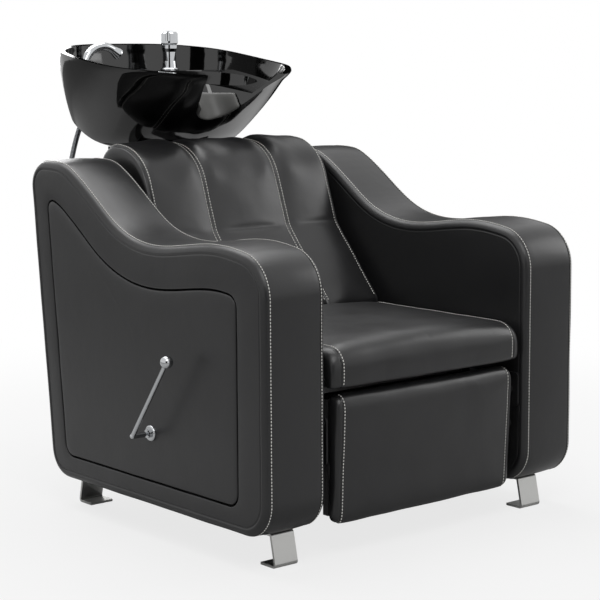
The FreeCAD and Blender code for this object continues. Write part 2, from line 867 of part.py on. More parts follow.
def lever_arm():
    """A rod bent round into a short leg that is pressed on the shaft's end."""
    bend, ball = lever_places()
    leg_end = bend + Vector(hub_length, 0, 0)
    along = (ball - bend).normalize()
    body = round_bar(hub_radius, bend, leg_end).fuse(Part.makeSphere(hub_radius, bend))
    body = body.fuse(round_bar(lever_rod_radius, bend, ball - along * (lever_ball_radius - ball_neck)))
    socket_end = leg_end - Vector(hub_socket, 0, 0)
    return bore(body.removeSplitter(), shaft_end_radius + run_gap, socket_end, leg_end)


def lever_knob():
    bend, ball = lever_places()
    along = (ball - bend).normalize()
    knob = Part.makeSphere(lever_ball_radius, ball)
    return bore(knob, lever_rod_radius + run_gap, ball - along * lever_ball_radius * 1.2,
                ball - along * (lever_ball_radius - ball_neck - run_gap))


def crank(sign):
    pin_z = shaft_z - crank_reach
    arm = plate_link(side_plate_x, plate, (shaft_y, shaft_z), (shaft_y, pin_z), plate_half_width,
                     shaft_radius + run_gap, 0)
    arm = arm.fuse(link_pin(side_plate_x + plate, shaft_y, pin_z)).removeSplitter()
    return mirrored(arm, sign)


def link_rod(sign):
    x = side_plate_x + plate + link_gap
    rod = plate_link(x, link_thick, (shaft_y, shaft_z - crank_reach), (pivot_y, pivot_z - crank_reach),
                     link_half_width, link_pin_radius + run_gap, link_pin_radius + run_gap)
    return mirrored(rod, sign)


# Basin stand

def stand_rail(sign):
    z = low_tube_z + tube_wide
    front = low_front_y - tube_wide / 2
    rear = post_y + tube_wide / 2
    return mirrored(square_tube_y(post_x, z, tube_wide, tube_wide, front, rear), sign)


def stand_post(sign):
    foot_z = low_tube_z + tube_wide * 1.5
    post = square_tube_z(post_x, post_y, tube_wide, foot_z, post_high)
    near = post_y - tube_wide / 2
    web = slab_x([(near, foot_z, 0), (near, foot_z + gusset, 0), (near - gusset, foot_z, 0)],
                 post_x - plate / 2, post_x + plate / 2)
    return mirrored(post.fuse(web).removeSplitter(), sign)


def tilt_ear(x_low, z_flat, z_round):
    corner = ear_radius - touch
    front = tilt_y - ear_radius
    rear = tilt_y + ear_radius
    corners = [(front, z_flat, 0), (rear, z_flat, 0), (rear, z_round, corner), (front, z_round, corner)]
    ear = slab_x(corners, x_low, x_low + ear_thick)
    return bore(ear, tilt_pin_radius + run_gap, Vector(x_low, tilt_y, tilt_z),
                Vector(x_low + ear_thick, tilt_y, tilt_z))


def stand_head():
    half = post_x + tube_wide / 2
    top = post_high + head_plate
    ear_low_x = ear_x + ear_thick + ear_gap
    rear_half = ear_low_x + ear_thick
    hole = drain_radius + head_hole_gap
    post_rear = post_y + tube_wide / 2
    head = box(-half, half, drain_y - hole - head_hole_gap, post_rear, post_high, top)
    head = head.fuse(box(-rear_half, rear_half, post_rear, tilt_y + ear_radius, post_high, top))
    for sign in (1, -1):
        head = head.fuse(mirrored(tilt_ear(ear_low_x, top, tilt_z + ear_radius), sign))
    return bore(head.removeSplitter(), hole, Vector(0, drain_y, post_high), Vector(0, drain_y, top))


def tilt_pin():
    outer = ear_x + 2 * ear_thick + ear_gap
    start = Vector(-outer - clamp_hub, tilt_y, tilt_z)
    seat = Vector(outer, tilt_y, tilt_z)
    head = round_bar(pin_head_radius, seat, seat + Vector(pin_head, 0, 0))
    return round_bar(tilt_pin_radius, start, seat).fuse(head).removeSplitter()


def tilt_clamp():
    outer = ear_x + 2 * ear_thick + ear_gap + paint_gap
    start = Vector(-outer - clamp_hub, tilt_y, tilt_z)
    end = Vector(-outer, tilt_y, tilt_z)
    middle = (start + end) / 2
    low = middle - Vector(0, 0, clamp_arm)
    handle = round_bar(clamp_hub_radius, start, end).fuse(round_bar(clamp_arm_radius, low, middle))
    handle = handle.fuse(Part.makeSphere(clamp_knob_radius, low)).removeSplitter()
    return bore(handle, tilt_pin_radius + run_gap, start, end)


def basin_cradle():
    top = basin_low_z
    cradle = box(-cradle_half, cradle_half, cradle_front, cradle_rear, top - cradle_plate, top)
    for sign in (1, -1):
        cradle = cradle.fuse(mirrored(tilt_ear(ear_x, top - cradle_plate, tilt_z - ear_radius), sign))
    cradle = cradle.removeSplitter()
    low = Vector(0, drain_y, top - cradle_plate)
    return bore(cradle, drain_radius + collar_gap, low, Vector(0, drain_y, top))


# Basin

def rim_points(inset):
    length = rim_rear_y - rim_front_y
    shares = [(0.0, 0.0)] + list(rim_shares) + [(0.0, 1.0)] + [(-x, y) for x, y in rim_shares[::-1]]
    x_scale = rim_half - inset
    y_scale = 1 - inset / (length / 2)
    points = []
    for x_share, y_share in shares:
        y = rim_front_y + length * y_share
        points.append((x_scale * x_share, basin_middle_y + (y - basin_middle_y) * y_scale))
    return points


def hull_level(inset, up):
    """The basin's outline at a share of the way up from its foot to its rim."""
    slope = (rim_rear_z - rim_front_z) / (rim_rear_y - rim_front_y)
    points = []
    for x, y in rim_points(inset):
        turn = math.atan2(y - basin_middle_y, x)
        foot_x_here = (basin_foot_half_x - inset) * math.cos(turn)
        foot_y_here = basin_foot_y + (basin_foot_half_y - inset) * math.sin(turn)
        bulge = front_bulge + (rear_bulge - front_bulge) * (1 + math.sin(turn)) / 2
        out = (1 - (1 - min(up, 1.0)) ** bulge) ** (1 / bulge)
        x_here = foot_x_here + (x - foot_x_here) * out
        y_here = foot_y_here + (y - foot_y_here) * out
        rim_z = rim_front_z + slope * (y_here - rim_front_y)
        points.append(Vector(x_here, y_here, basin_low_z + (rim_z - basin_low_z) * up))
    curve = Part.BSplineCurve()
    curve.interpolate(Points=points, PeriodicFlag=True)
    return Part.Wire(curve.toShape())


def hull(inset, top_up):
    levels = list(level_shares) + [top_up]
    return Part.makeLoft([hull_level(inset, up) for up in levels], True, False)


def above_rim():
    middle_y = (rim_front_y + rim_rear_y) / 2
    slope = (rim_rear_z - rim_front_z) / (rim_rear_y - rim_front_y)
    start = Vector(-chair_width, rim_front_y - overrun, rim_front_z - overrun * slope)
    middle = Vector(-chair_width, middle_y, (rim_front_z + rim_rear_z) / 2 - rim_sag)
    end = Vector(-chair_width, rim_rear_y + overrun, rim_rear_z + overrun * slope)
    lift = Vector(0, 0, overrun * 2)
    edges = [Part.Arc(start, middle, end).toShape(), Part.makeLine(end, end + lift),
             Part.makeLine(end + lift, start + lift), Part.makeLine(start + lift, start)]
    return Part.Face(Part.Wire(edges)).extrude(Vector(chair_width * 2, 0, 0))


def bowl_level(z, grow, outward):
    """The wash bowl's outline at a height, grow going from 0 at its floor to 1 at its top."""
    front = bowl_low_front_y + (bowl_front_y - bowl_low_front_y) * grow - outward
    rear = bowl_low_rear_y + (deck_front_y - bowl_low_rear_y) * grow + outward
    half_x = bowl_low_half + (bowl_half - bowl_low_half) * grow + outward
    middle_y = (front + rear) / 2
    half_y = (rear - front) / 2
    points = []
    for step in range(bowl_points):
        turn = 2 * math.pi * step / bowl_points
        across = abs(math.cos(turn)) ** (2 / bowl_round) * math.copysign(1, math.cos(turn))
        along = abs(math.sin(turn)) ** (2 / bowl_round) * math.copysign(1, math.sin(turn))
        x = half_x * across
        dent = bowl_dent * grow * max(0.0, 1 - (x / notch_reach) ** 2) ** 2 * max(0.0, -along)
        points.append(Vector(x, middle_y + half_y * along + dent, z))
    curve = Part.BSplineCurve()
    curve.interpolate(Points=points, PeriodicFlag=True)
    return Part.Wire(curve.toShape())


def bowl_form(outward, low_z):
    """The wash bowl's hollow, or with a wall added outward the block that holds it."""
    sections = []
    for share in bowl_depth_shares:
        grow = (1 - (1 - share) ** bowl_side_bulge) ** (1 / bowl_side_bulge)
        sections.append(bowl_level(bowl_low_z + (deck_z - bowl_low_z) * share, grow, outward))
    lower = Part.makeLoft(sections, True, False)
    over = Part.makeLoft([sections[-1], bowl_level(rim_rear_z + overrun, 1.0, outward)], True, True)
    if low_z < bowl_low_z:
        under = Part.makeLoft([bowl_level(low_z, 0.0, outward), sections[0]], True, True)
        return [under, lower, over]
    return [lower, over]


def land(drop, up):
    """The space above or below the ledge round the bowl, which falls away in front of the deck."""
    front_y = rim_front_y - overrun
    rear_y = rim_rear_y + overrun
    front_z = deck_z - (deck_front_y - front_y) * land_slope_share - drop
    far_z = rim_rear_z + overrun if up else basin_low_z - overrun
    corners = [(front_y, front_z, 0), (deck_front_y, deck_z - drop, 0), (rear_y, deck_z - drop, 0),
               (rear_y, far_z, 0), (front_y, far_z, 0)]
    return slab_x(corners, -chair_width / 2, chair_width / 2)


def under_skirt():
    rear_y = rim_rear_y + overrun
    rear_z = basin_low_z + (rear_y - skirt_y) * skirt_slope_share
    corners = [(skirt_y, basin_low_z, 0), (rear_y, rear_z, 0), (rear_y, basin_low_z - overrun, 0),
               (skirt_y, basin_low_z - overrun, 0)]
    return slab_x(corners, -chair_width / 2, chair_width / 2)


def notch_frame():
    """The neck notch's bottom line: a point on it, its way up and back, and the way out of it."""
    along = Vector(0, math.sqrt(1 - notch_rise_share ** 2), notch_rise_share)
    out = Vector(0, -along.z, along.y)
    return Vector(0, notch_lip_y, notch_lip_z), along, out


def notch(inset, high, low_reach, high_reach):
    """The notch's space: a round bottom between flared flanks, drawn in by the inset."""
    lip, along, out = notch_frame()
    flare = math.radians(notch_flare)
    radius = notch_radius - inset
    tangent_x = radius * math.cos(flare)
    tangent_high = notch_radius - radius * math.sin(flare)
    wide = tangent_x + (high - tangent_high) * math.tan(flare)
    start = lip - along * low_reach

    def place(x, up):
        return start + Vector(x, 0, 0) + out * up

    left = place(-tangent_x, tangent_high)
    right = place(tangent_x, tangent_high)
    arc = Part.Arc(left, place(0, inset), right).toShape()
    lines = [Part.makeLine(right, place(wide, high)), Part.makeLine(place(wide, high), place(-wide, high)),
             Part.makeLine(place(-wide, high), left)]
    return Part.Face(Part.Wire([arc] + lines)).extrude(along * (low_reach + high_reach))


def basin():
    solid = hull(0, hull_top_share).cut(above_rim())
    inner = hull(basin_wall, hollow_top_share)
    block = bowl_form(basin_wall, basin_low_z - overrun)
    hollow = inner.common(land(deck_thick, False))
    underneath = under_skirt()
    for piece in block:
        hollow = hollow.cut(piece)
        underneath = underneath.cut(piece)
    hollow = hollow.cut(notch(-basin_wall, notch_high, notch_reach, notch_high))
    neck = notch(0, notch_high, notch_reach, notch_high)
    for cutter in [inner.common(land(0, True)), hollow, underneath, neck] + bowl_form(0, bowl_low_z):
        solid = solid.cut(cutter)
    drain = Vector(0, drain_y, bowl_low_z)
    solid = bore(solid, drain_radius + run_gap, Vector(0, drain_y, basin_low_z), drain)
    for x, y, radius in deck_holes():
        top = Vector(x, y, deck_z)
        solid = bore(solid, radius + run_gap, top - Vector(0, 0, deck_thick + overrun), top)
    return solid.Solids[0]


def neck_rest():
    """The soft lining of the notch's bottom, its two ends cut square."""
    lip, along, out = notch_frame()
    outer = notch(paint_gap, rest_high, rest_overhang, notch_high)
    inner = notch(paint_gap + rest_thick, notch_high, notch_reach, notch_high * 2)
    wide = chair_width / 2
    below = box(-wide, wide, rim_front_y, rim_rear_y, basin_low_z, rest_top_z)
    return outer.cut(inner).common(below)


def deck_holes():
    """The places and radii of what goes through the deck."""
    return ((tap_x, tap_y, tap_tail_radius), (shower_x, shower_y, holder_radius - holder_step))


def drain_outlet():
    low = Vector(0, drain_y, bowl_low_z - drain_drop)
    floor = Vector(0, drain_y, bowl_low_z)
    step = floor - Vector(0, 0, drain_thread)
    top = floor + Vector(0, 0, drain_flange)
    outlet = round_bar(drain_radius, step, floor).fuse(round_bar(drain_flange_radius, floor, top))
    outlet = outlet.fuse(round_bar(drain_tail_radius, low, step)).removeSplitter()
    outlet = bore(outlet, drain_radius - drain_wall, step + Vector(0, 0, drain_wall), top)
    return bore(outlet, drain_tail_radius - drain_wall, low, top)


def drain_strainer():
    top = Vector(0, drain_y, bowl_low_z + drain_flange)
    low = top - Vector(0, 0, strainer_cup)
    cup = round_bar(strainer_radius, low, top)
    cup = bore(cup, strainer_radius - strainer_rim, low + Vector(0, 0, strainer_rim), top)
    rim = round_bar(strainer_rim_radius, top, top + Vector(0, 0, strainer_rim))
    cup = cup.fuse(bore(rim, strainer_radius - strainer_rim, top, top + Vector(0, 0, strainer_rim)))
    for turn in range(strainer_holes):
        angle = 2 * math.pi * turn / strainer_holes
        place = Vector(math.cos(angle), math.sin(angle), 0) * strainer_radius * 0.6
        cup = bore(cup, strainer_hole, low + place, low + place + Vector(0, 0, strainer_rim))
    knob = round_bar(strainer_hole, low, low + Vector(0, 0, strainer_cup + strainer_knob))
    return cup.fuse(knob).removeSplitter()


# Tap

def turned(profile, x, y):
    """A solid turned about the vertical at x, y from (radius, z) points."""
    points = [Vector(x + radius, y, z) for radius, z in profile]
    face = Part.Face(Part.makePolygon(points + [points[0]]))
    return face.revolve(Vector(x, y, 0), Vector(0, 0, 1), 360)


def tap_top():
    return deck_z + tap_base + tap_high


def tap_body():
    neck = deck_z + tap_base
    top = tap_top()
    profile = [(0, deck_z - tap_tail), (tap_tail_radius, deck_z - tap_tail), (tap_tail_radius, deck_z),
               (tap_base_radius, deck_z), (tap_base_radius, deck_z + tap_base / 2), (tap_radius, neck),
               (tap_waist_radius, neck + tap_high * 0.3), (tap_waist_radius, neck + tap_high * 0.7),
               (tap_radius, neck + tap_high * 0.85), (tap_radius, top), (0, top)]
    body = turned(profile, tap_x, tap_y)
    for side in (1, -1):
        end = Vector(tap_x + side * tap_inlet_x, tap_y - tap_inlet_forward, deck_z - tap_tail)
        body = body.fuse(round_bar(tap_inlet_radius, end - Vector(0, 0, tap_inlet_long), end))
    body = body.removeSplitter()
    socket = Vector(tap_x, tap_y, top)
    return bore(body, spindle_radius + run_gap, socket - Vector(0, 0, spindle_long), socket)


def tap_spindle():
    low = Vector(tap_x, tap_y, tap_top() - spindle_long + knob_lift)
    return round_bar(spindle_radius, low, low + Vector(0, 0, spindle_long + knob_high * 0.2))


def tap_knob():
    low = tap_top() + paint_gap
    high = low + knob_high
    chamfer = knob_radius * 0.2
    profile = [(0, low), (knob_radius - chamfer, low), (knob_radius, low + chamfer),
               (knob_radius, high - chamfer), (knob_radius - chamfer, high), (0, high)]
    knob = turned(profile, tap_x, tap_y)
    for turn in range(knob_lobes):
        angle = math.pi * (2 * turn + 1) / knob_lobes
        place = Vector(tap_x, tap_y, 0) + Vector(math.cos(angle), math.sin(angle), 0) * knob_radius * 1.15
        knob = bore(knob, knob_groove_radius, place + Vector(0, 0, low + knob_high * 0.3),
                    place + Vector(0, 0, high))
    socket_top = tap_top() + knob_lift + knob_high * 0.2
    knob = bore(knob, spindle_radius + run_gap, Vector(tap_x, tap_y, low), Vector(tap_x, tap_y, socket_top))
    cap = round_bar(knob_cap_radius, Vector(tap_x, tap_y, high), Vector(tap_x, tap_y, high + knob_cap))
    return knob.fuse(cap).removeSplitter()


def deck_nuts():
    nuts = []
    under_deck = deck_z - deck_thick
    for x, y, radius in deck_holes():
        top = Vector(x, y, under_deck)
        low = top - Vector(0, 0, tap_nut)
        turns = [2 * math.pi * corner / nut_flats for corner in range(nut_flats)]
        corners = [low + Vector(math.cos(turn), math.sin(turn), 0) * (radius + nut_rim) for turn in turns]
        nut = Part.Face(Part.makePolygon(corners + corners[:1])).extrude(top - low)
        nuts.append(bore(nut, radius + run_gap, low, top))
    return Part.makeCompound(nuts)


# Hand shower and its hose

def shower_holder():
    top = deck_z + holder_high
    tail = holder_radius - holder_step
    profile = [(stem_radius + run_gap, deck_z - holder_tail), (tail, deck_z - holder_tail), (tail, deck_z),
               (holder_flange_radius, deck_z), (holder_flange_radius, deck_z + holder_flange),
               (holder_radius, deck_z + holder_flange), (holder_radius, top), (stem_radius + run_gap, top)]
    return turned(profile, shower_x, shower_y)


def arch_place(angle):
    """A point on the hand shower's arched neck, the angle in degrees from its rising side."""
    turn = math.radians(180 - angle)
    centre_z = deck_z + holder_high + arch_rise
    return Vector(shower_x + arch_radius + arch_radius * math.cos(turn), shower_y,
                  centre_z + arch_radius * math.sin(turn))


def hand_shower():
    foot_z = deck_z - stem_low
    seat_z = deck_z + holder_high
    centre_z = seat_z + arch_rise
    stem = round_bar(stem_radius, Vector(shower_x, shower_y, foot_z), Vector(shower_x, shower_y, centre_z))
    collar = round_bar(holder_radius - holder_step, Vector(shower_x, shower_y, seat_z),
                       Vector(shower_x, shower_y, seat_z + holder_flange))
    path = Part.Wire(Part.Arc(arch_place(0), arch_place(arch_turn / 2), arch_place(arch_turn)).toShape())
    ring = Part.Wire(Part.makeCircle(stem_radius, arch_place(0), Vector(0, 0, 1)))
    neck = path.makePipeShell([ring], True, False)
    end = arch_place(arch_turn)
    turn = math.radians(180 - arch_turn)
    ahead = Vector(math.sin(turn), 0, -math.cos(turn))
    spray = Part.makeCone(stem_radius, spray_radius, spray_long - spray_ring, end, ahead)
    face = end + ahead * (spray_long - spray_ring)
    spray = spray.fuse(round_bar(spray_radius, face, face + ahead * spray_ring))
    return stem.fuse([collar, neck, spray]).removeSplitter()


def hose_path(points):
    """Straight runs joined by tangent arcs, each as large as its two runs allow."""
    edges = []
    at = points[0]
    radii = []
    for before, corner, after in zip(points, points[1:], points[2:]):
        shorter = min((corner - before).Length, (after - corner).Length)
        half_turn = (corner - before).getAngle(after - corner) / 2
        radius = 0.45 * shorter / math.tan(half_turn)
        radii.append(radius)
        start, middle, end = corner_arc(before, corner, after, radius)
        edges.append(Part.makeLine(at, start))
        edges.append(Part.Arc(start, middle, end).toShape())
        at = end
    edges.append(Part.makeLine(at, points[-1]))
    return Part.Wire(edges), radii


def shower_hose():
    path, radii = hose_path([Vector(*point) for point in hose_points])
    ring = Part.Wire(Part.makeCircle(hose_radius, Vector(*hose_points[0]),
                                     Vector(*hose_points[1]) - Vector(*hose_points[0])))
    tube = path.makePipeShell([ring], True, False)
    expected = math.pi * hose_radius ** 2 * path.Length
    print("hose length", round(path.Length, 1), "least radius", round(min(radii), 1),
          "volume share", round(tube.Volume / expected, 4))
    return tube


# Output

def save(name, shape):
    shape = shape.copy()
    shape.translate(shift)
    if not shape.isValid():
        print("not valid:", name)
    shape.exportStep("parts/" + name + ".step")


def main():
    os.makedirs("parts", exist_ok=True)
    for name, sign in sides:
        save("arm_" + name + "_body", arm_body(sign))
        save("arm_" + name + "_side_panel", arm_side_panel(sign))
        save("arm_" + name + "_base_board", mirrored(base_board(paint_gap), sign))
        save("foot_front_" + name, foot("front", sign))
        save("foot_rear_" + name, foot("rear", sign))
        save("seat_rail_" + name, seat_rail(sign))
        save("back_post_" + name, back_post(sign))
        save("leg_rest_hanger_" + name, leg_rest_hanger(sign))
        save("shaft_bush_" + name, shaft_bush(sign))
        save("stand_rail_" + name, stand_rail(sign))
        save("stand_post_" + name, stand_post(sign))
        save("leg_rest_bracket_" + name, leg_rest_bracket(sign))
        save("crank_" + name, crank(sign))
        save("link_rod_" + name, link_rod(sign))
    save("screws", screws())
    save("seat_tube_front", cross_tube(front_tube_y, seat_tube_z))
    save("seat_tube_rear", cross_tube(rear_tube_y, seat_tube_z))
    save("base_tube_front", cross_tube(low_front_y, low_tube_z))
    save("base_tube_rear", cross_tube(low_rear_y, low_tube_z))
    save("seat_board", seat_board())
    save("seat_cushion", seat_cushion())
    save("back_board", back_board())
    save("back_cushion", back_cushion())
    save("rear_panel", rear_panel())
    save("leg_rest_board", leg_rest_board())
    save("leg_rest_cushion", leg_rest_cushion())
    save("lever_escutcheon", lever_escutcheon())
    save("cross_shaft", cross_shaft())
    save("lever_arm", lever_arm())
    save("lever_knob", lever_knob())
    save("stand_head", stand_head())
    save("tilt_pin", tilt_pin())
    save("tilt_clamp", tilt_clamp())
    save("basin_cradle", basin_cradle())
    save("basin", basin())
    save("neck_rest", neck_rest())
    save("drain_outlet", drain_outlet())
    save("drain_strainer", drain_strainer())
    save("tap_body", tap_body())
    save("tap_spindle", tap_spindle())
    save("tap_knob", tap_knob())
    save("deck_nuts", deck_nuts())
    save("shower_holder", shower_holder())
    save("hand_shower", hand_shower())
    save("shower_hose", shower_hose())


main()
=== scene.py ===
import json
import math

import bmesh
import bpy
from mathutils import Matrix, Vector, noise
from mathutils.bvhtree import BVHTree


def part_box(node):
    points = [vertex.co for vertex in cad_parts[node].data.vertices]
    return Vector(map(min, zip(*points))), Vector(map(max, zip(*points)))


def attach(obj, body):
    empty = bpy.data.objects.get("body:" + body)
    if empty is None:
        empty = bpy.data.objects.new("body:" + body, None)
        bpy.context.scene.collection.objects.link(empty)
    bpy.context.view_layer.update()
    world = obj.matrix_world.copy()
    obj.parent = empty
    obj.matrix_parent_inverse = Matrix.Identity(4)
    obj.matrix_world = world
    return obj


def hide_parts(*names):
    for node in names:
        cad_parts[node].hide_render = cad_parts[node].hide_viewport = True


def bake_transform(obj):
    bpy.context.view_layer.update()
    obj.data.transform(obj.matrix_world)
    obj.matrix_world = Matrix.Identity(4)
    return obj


# A salon hair washing bed: two upholstered arms, a seat with a leg rest, a backrest with a head
# roll, and a black ceramic basin with its tap and hand shower. Metres, +Z up, the seat faces -Y.

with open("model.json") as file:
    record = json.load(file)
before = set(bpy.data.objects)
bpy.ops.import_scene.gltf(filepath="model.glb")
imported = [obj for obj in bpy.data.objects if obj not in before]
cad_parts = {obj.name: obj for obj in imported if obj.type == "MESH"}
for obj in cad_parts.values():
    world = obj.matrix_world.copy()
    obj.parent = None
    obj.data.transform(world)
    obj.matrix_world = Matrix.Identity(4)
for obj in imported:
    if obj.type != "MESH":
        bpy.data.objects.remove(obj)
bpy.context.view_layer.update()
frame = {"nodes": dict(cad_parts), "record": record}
MM = 0.001

# Where the arms are, from the frame
arm_low, arm_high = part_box("arm_left_body")
right_arm_low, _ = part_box("arm_right_body")
middle_x = (arm_high.x + right_arm_low.x) / 2
arm_half = (arm_high.x - arm_low.x) / 2


def add_object(name, data):
    """A new object in the scene."""
    made = bpy.data.objects.new(name, data)
    bpy.context.scene.collection.objects.link(made)
    return made


# Camera

camera_place = Vector((-2.3469, -2.9720, 0.9633))
camera_azimuth = -39.79
camera_elevation = 8.14
camera_roll = -0.33
camera_lens = 107.3
camera_sensor = 36

camera_data = bpy.data.cameras.new("camera")
camera_data.lens = camera_lens
camera_data.sensor_width = camera_sensor
camera = add_object("camera", camera_data)
camera.matrix_world = (Matrix.Translation(camera_place)
                       @ Matrix.Rotation(math.radians(camera_azimuth), 4, "Z")
                       @ Matrix.Rotation(math.radians(90 - camera_elevation), 4, "X")
                       @ Matrix.Rotation(math.radians(camera_roll), 4, "Z"))
bpy.context.scene.camera = camera


# Materials

def colour(hex_code):
    """An sRGB hex colour as linear red, green, blue and alpha."""
    parts = [int(hex_code[at:at + 2], 16) / 255 for at in (1, 3, 5)]
    return tuple(((c + 0.055) / 1.055) ** 2.4 if c > 0.04045 else c / 12.92 for c in parts) + (1.0,)


def node(tree, kind, values=None, links=None, **settings):
    """Adds a shader node with its settings, its socket values and its links."""
    made = tree.nodes.new(kind)
    for name, value in settings.items():
        setattr(made, name, value)
    for socket, value in (values or {}).items():
        made.inputs[socket].default_value = value
    for socket, source in (links or {}).items():
        tree.links.new(source, made.inputs[socket])
    return made


def bare_tree(owner):
    """The node tree of a material or a world, emptied."""
    owner.use_nodes = True
    owner.node_tree.nodes.clear()
    return owner.node_tree


def finish_material(name, values):
    """A new material with one Principled shader, and its tree, shader and object coordinates."""
    material = bpy.data.materials.new(name)
    tree = bare_tree(material)
    shader = node(tree, "ShaderNodeBsdfPrincipled", values)
    node(tree, "ShaderNodeOutputMaterial", links={"Surface": shader.outputs[0]})
    place = node(tree, "ShaderNodeTexCoord").outputs["Object"]
    return material, tree, shader, place


def dress(tree, shader, shade=None, rough=None, bump=None):
    """Links a material's varied colour, roughness and bump to its shader."""
    for socket, source in (("Base Color", shade), ("Roughness", rough), ("Normal", bump)):
        if source:
            tree.links.new(source, shader.inputs[socket])


# The sockets of a colour Mix node
mix_share = 0
mix_first = 6
mix_second = 7
mix_result = 2


def leatherette():
    """Calendered PVC leatherette: black, semi-gloss, embossed with a fine pebble grain."""
    material, tree, shader, place = finish_material("embossed pvc leatherette", {"IOR": 1.5})
    patch_size = 142.86 * MM
    crease_size = 38.46 * MM
    grain_size = 1.6 * MM
    patches = node(tree, "ShaderNodeTexNoise", {"Scale": 1 / patch_size, "Detail": 3.0}, {"Vector": place})
    shade = node(tree, "ShaderNodeMix", {mix_first: colour("#1a1a1b"), mix_second: colour("#212122")},
                 {mix_share: patches.outputs["Fac"]}, data_type="RGBA")
    grain = node(tree, "ShaderNodeTexVoronoi", {"Scale": 1 / grain_size}, {"Vector": place},
                 feature="SMOOTH_F1")
    creases = node(tree, "ShaderNodeTexNoise", {"Scale": 1 / crease_size, "Detail": 4.0}, {"Vector": place})
    fine = node(tree, "ShaderNodeBump", {"Strength": 0.22, "Distance": 0.35 * MM},
                {"Height": grain.outputs["Distance"]})
    broad = node(tree, "ShaderNodeBump", {"Strength": 0.12, "Distance": 4 * MM},
                 {"Height": creases.outputs["Fac"], "Normal": fine.outputs[0]})
    rough = node(tree, "ShaderNodeMapRange", {"To Min": 0.30, "To Max": 0.42},
                 {"Value": patches.outputs["Fac"]})
    dress(tree, shader, shade.outputs[mix_result], rough.outputs["Result"], broad.outputs[0])
    return material


def thread():
    """Bonded polyester sewing thread: off-white, twisted, with a soft sheen."""
    material, tree, shader, place = finish_material("bonded polyester thread", {"Sheen Weight": 0.3})
    twist_step = 1.2 * MM
    twist = node(tree, "ShaderNodeTexNoise", {"Scale": 1 / twist_step}, {"Vector": place})
    shade = node(tree, "ShaderNodeMix", {mix_first: colour("#dedcd6"), mix_second: colour("#f6f5f0")},
                 {mix_share: twist.outputs["Fac"]}, data_type="RGBA")
    rough = node(tree, "ShaderNodeMapRange", {"To Min": 0.5, "To Max": 0.65},
                 {"Value": twist.outputs["Fac"]})
    dress(tree, shader, shade.outputs[mix_result], rough.outputs["Result"])
    return material


def glaze():
    """Vitreous china under a poured gloss black glaze, with the glaze's faint waviness."""
    material, tree, shader, place = finish_material(
        "gloss black glaze", {"Base Color": colour("#050505"), "IOR": 1.56, "Coat Weight": 0.25,
                              "Coat Roughness": 0.02})
    wave_size = 62.5 * MM
    waves = node(tree, "ShaderNodeTexNoise", {"Scale": 1 / wave_size, "Detail": 1.0}, {"Vector": place})
    bump = node(tree, "ShaderNodeBump", {"Strength": 0.12, "Distance": 3 * MM},
                {"Height": waves.outputs["Fac"]})
    rough = node(tree, "ShaderNodeMapRange", {"To Min": 0.04, "To Max": 0.09},
                 {"Value": waves.outputs["Fac"]})
    dress(tree, shader, None, rough.outputs["Result"], bump.outputs[0])
    return material


def chrome():
    """Polished chrome plate over brass, with faint wiping marks."""
    material, tree, shader, place = finish_material(
        "polished chrome plate", {"Base Color": colour("#bcbec0"), "Metallic": 1.0})
    mark_size = 16.667 * MM
    marks = node(tree, "ShaderNodeTexNoise", {"Scale": 1 / mark_size, "Detail": 4.0}, {"Vector": place})
    rough = node(tree, "ShaderNodeMapRange", {"To Min": 0.04, "To Max": 0.13},
                 {"Value": marks.outputs["Fac"]})
    dress(tree, shader, None, rough.outputs["Result"])
    return material


def satin_steel():
    """Stainless flat bar with a belt-ground satin finish, the lines along the bar's width."""
    material, tree, shader, place = finish_material(
        "ground stainless bar", {"Base Color": colour("#bcbcba"), "Metallic": 1.0})
    line_length = 125 * MM
    line_step = 0.8 * MM
    stretched = node(tree, "ShaderNodeMapping", {"Scale": (1 / line_length, 1 / line_step, 1 / line_step)},
                     {"Vector": place})
    lines = node(tree, "ShaderNodeTexNoise", {"Scale": 1.0, "Detail": 2.0},
                 {"Vector": stretched.outputs[0]})
    bump = node(tree, "ShaderNodeBump", {"Strength": 0.15, "Distance": 0.1 * MM},
                {"Height": lines.outputs["Fac"]})
    rough = node(tree, "ShaderNodeMapRange", {"To Min": 0.28, "To Max": 0.42},
                 {"Value": lines.outputs["Fac"]})
    dress(tree, shader, None, rough.outputs["Result"], bump.outputs[0])
    return material


def powder_coat():
    """Black polyester powder coat on steel tube, with its fine orange peel."""
    material, tree, shader, place = finish_material("black powder coat", {"Base Color": colour("#19191a")})
    peel_size = 2.5 * MM
    peel = node(tree, "ShaderNodeTexNoise", {"Scale": 1 / peel_size, "Detail": 2.0}, {"Vector": place})
    bump = node(tree, "ShaderNodeBump", {"Strength": 0.25, "Distance": 0.2 * MM},
                {"Height": peel.outputs["Fac"]})
    rough = node(tree, "ShaderNodeMapRange", {"To Min": 0.38, "To Max": 0.52},
                 {"Value": peel.outputs["Fac"]})
    dress(tree, shader, None, rough.outputs["Result"], bump.outputs[0])
    return material


def lining():
    """Plywood board under black non-woven lining cloth, with its dimpled bonding."""
    material, tree, shader, place = finish_material("black non-woven lining", {"Sheen Weight": 0.2})
    dimple_step = 3 * MM
    dimples = node(tree, "ShaderNodeTexVoronoi", {"Scale": 1 / dimple_step}, {"Vector": place})
    shade = node(tree, "ShaderNodeMix", {mix_first: colour("#101010"), mix_second: colour("#1e1e1e")},
                 {mix_share: dimples.outputs["Distance"]}, data_type="RGBA")
    bump = node(tree, "ShaderNodeBump", {"Strength": 0.4, "Distance": 0.3 * MM},
                {"Height": dimples.outputs["Distance"]})
    rough = node(tree, "ShaderNodeMapRange", {"To Min": 0.75, "To Max": 0.95},
                 {"Value": dimples.outputs["Distance"]})
    dress(tree, shader, shade.outputs[mix_result], rough.outputs["Result"], bump.outputs[0])
    return material


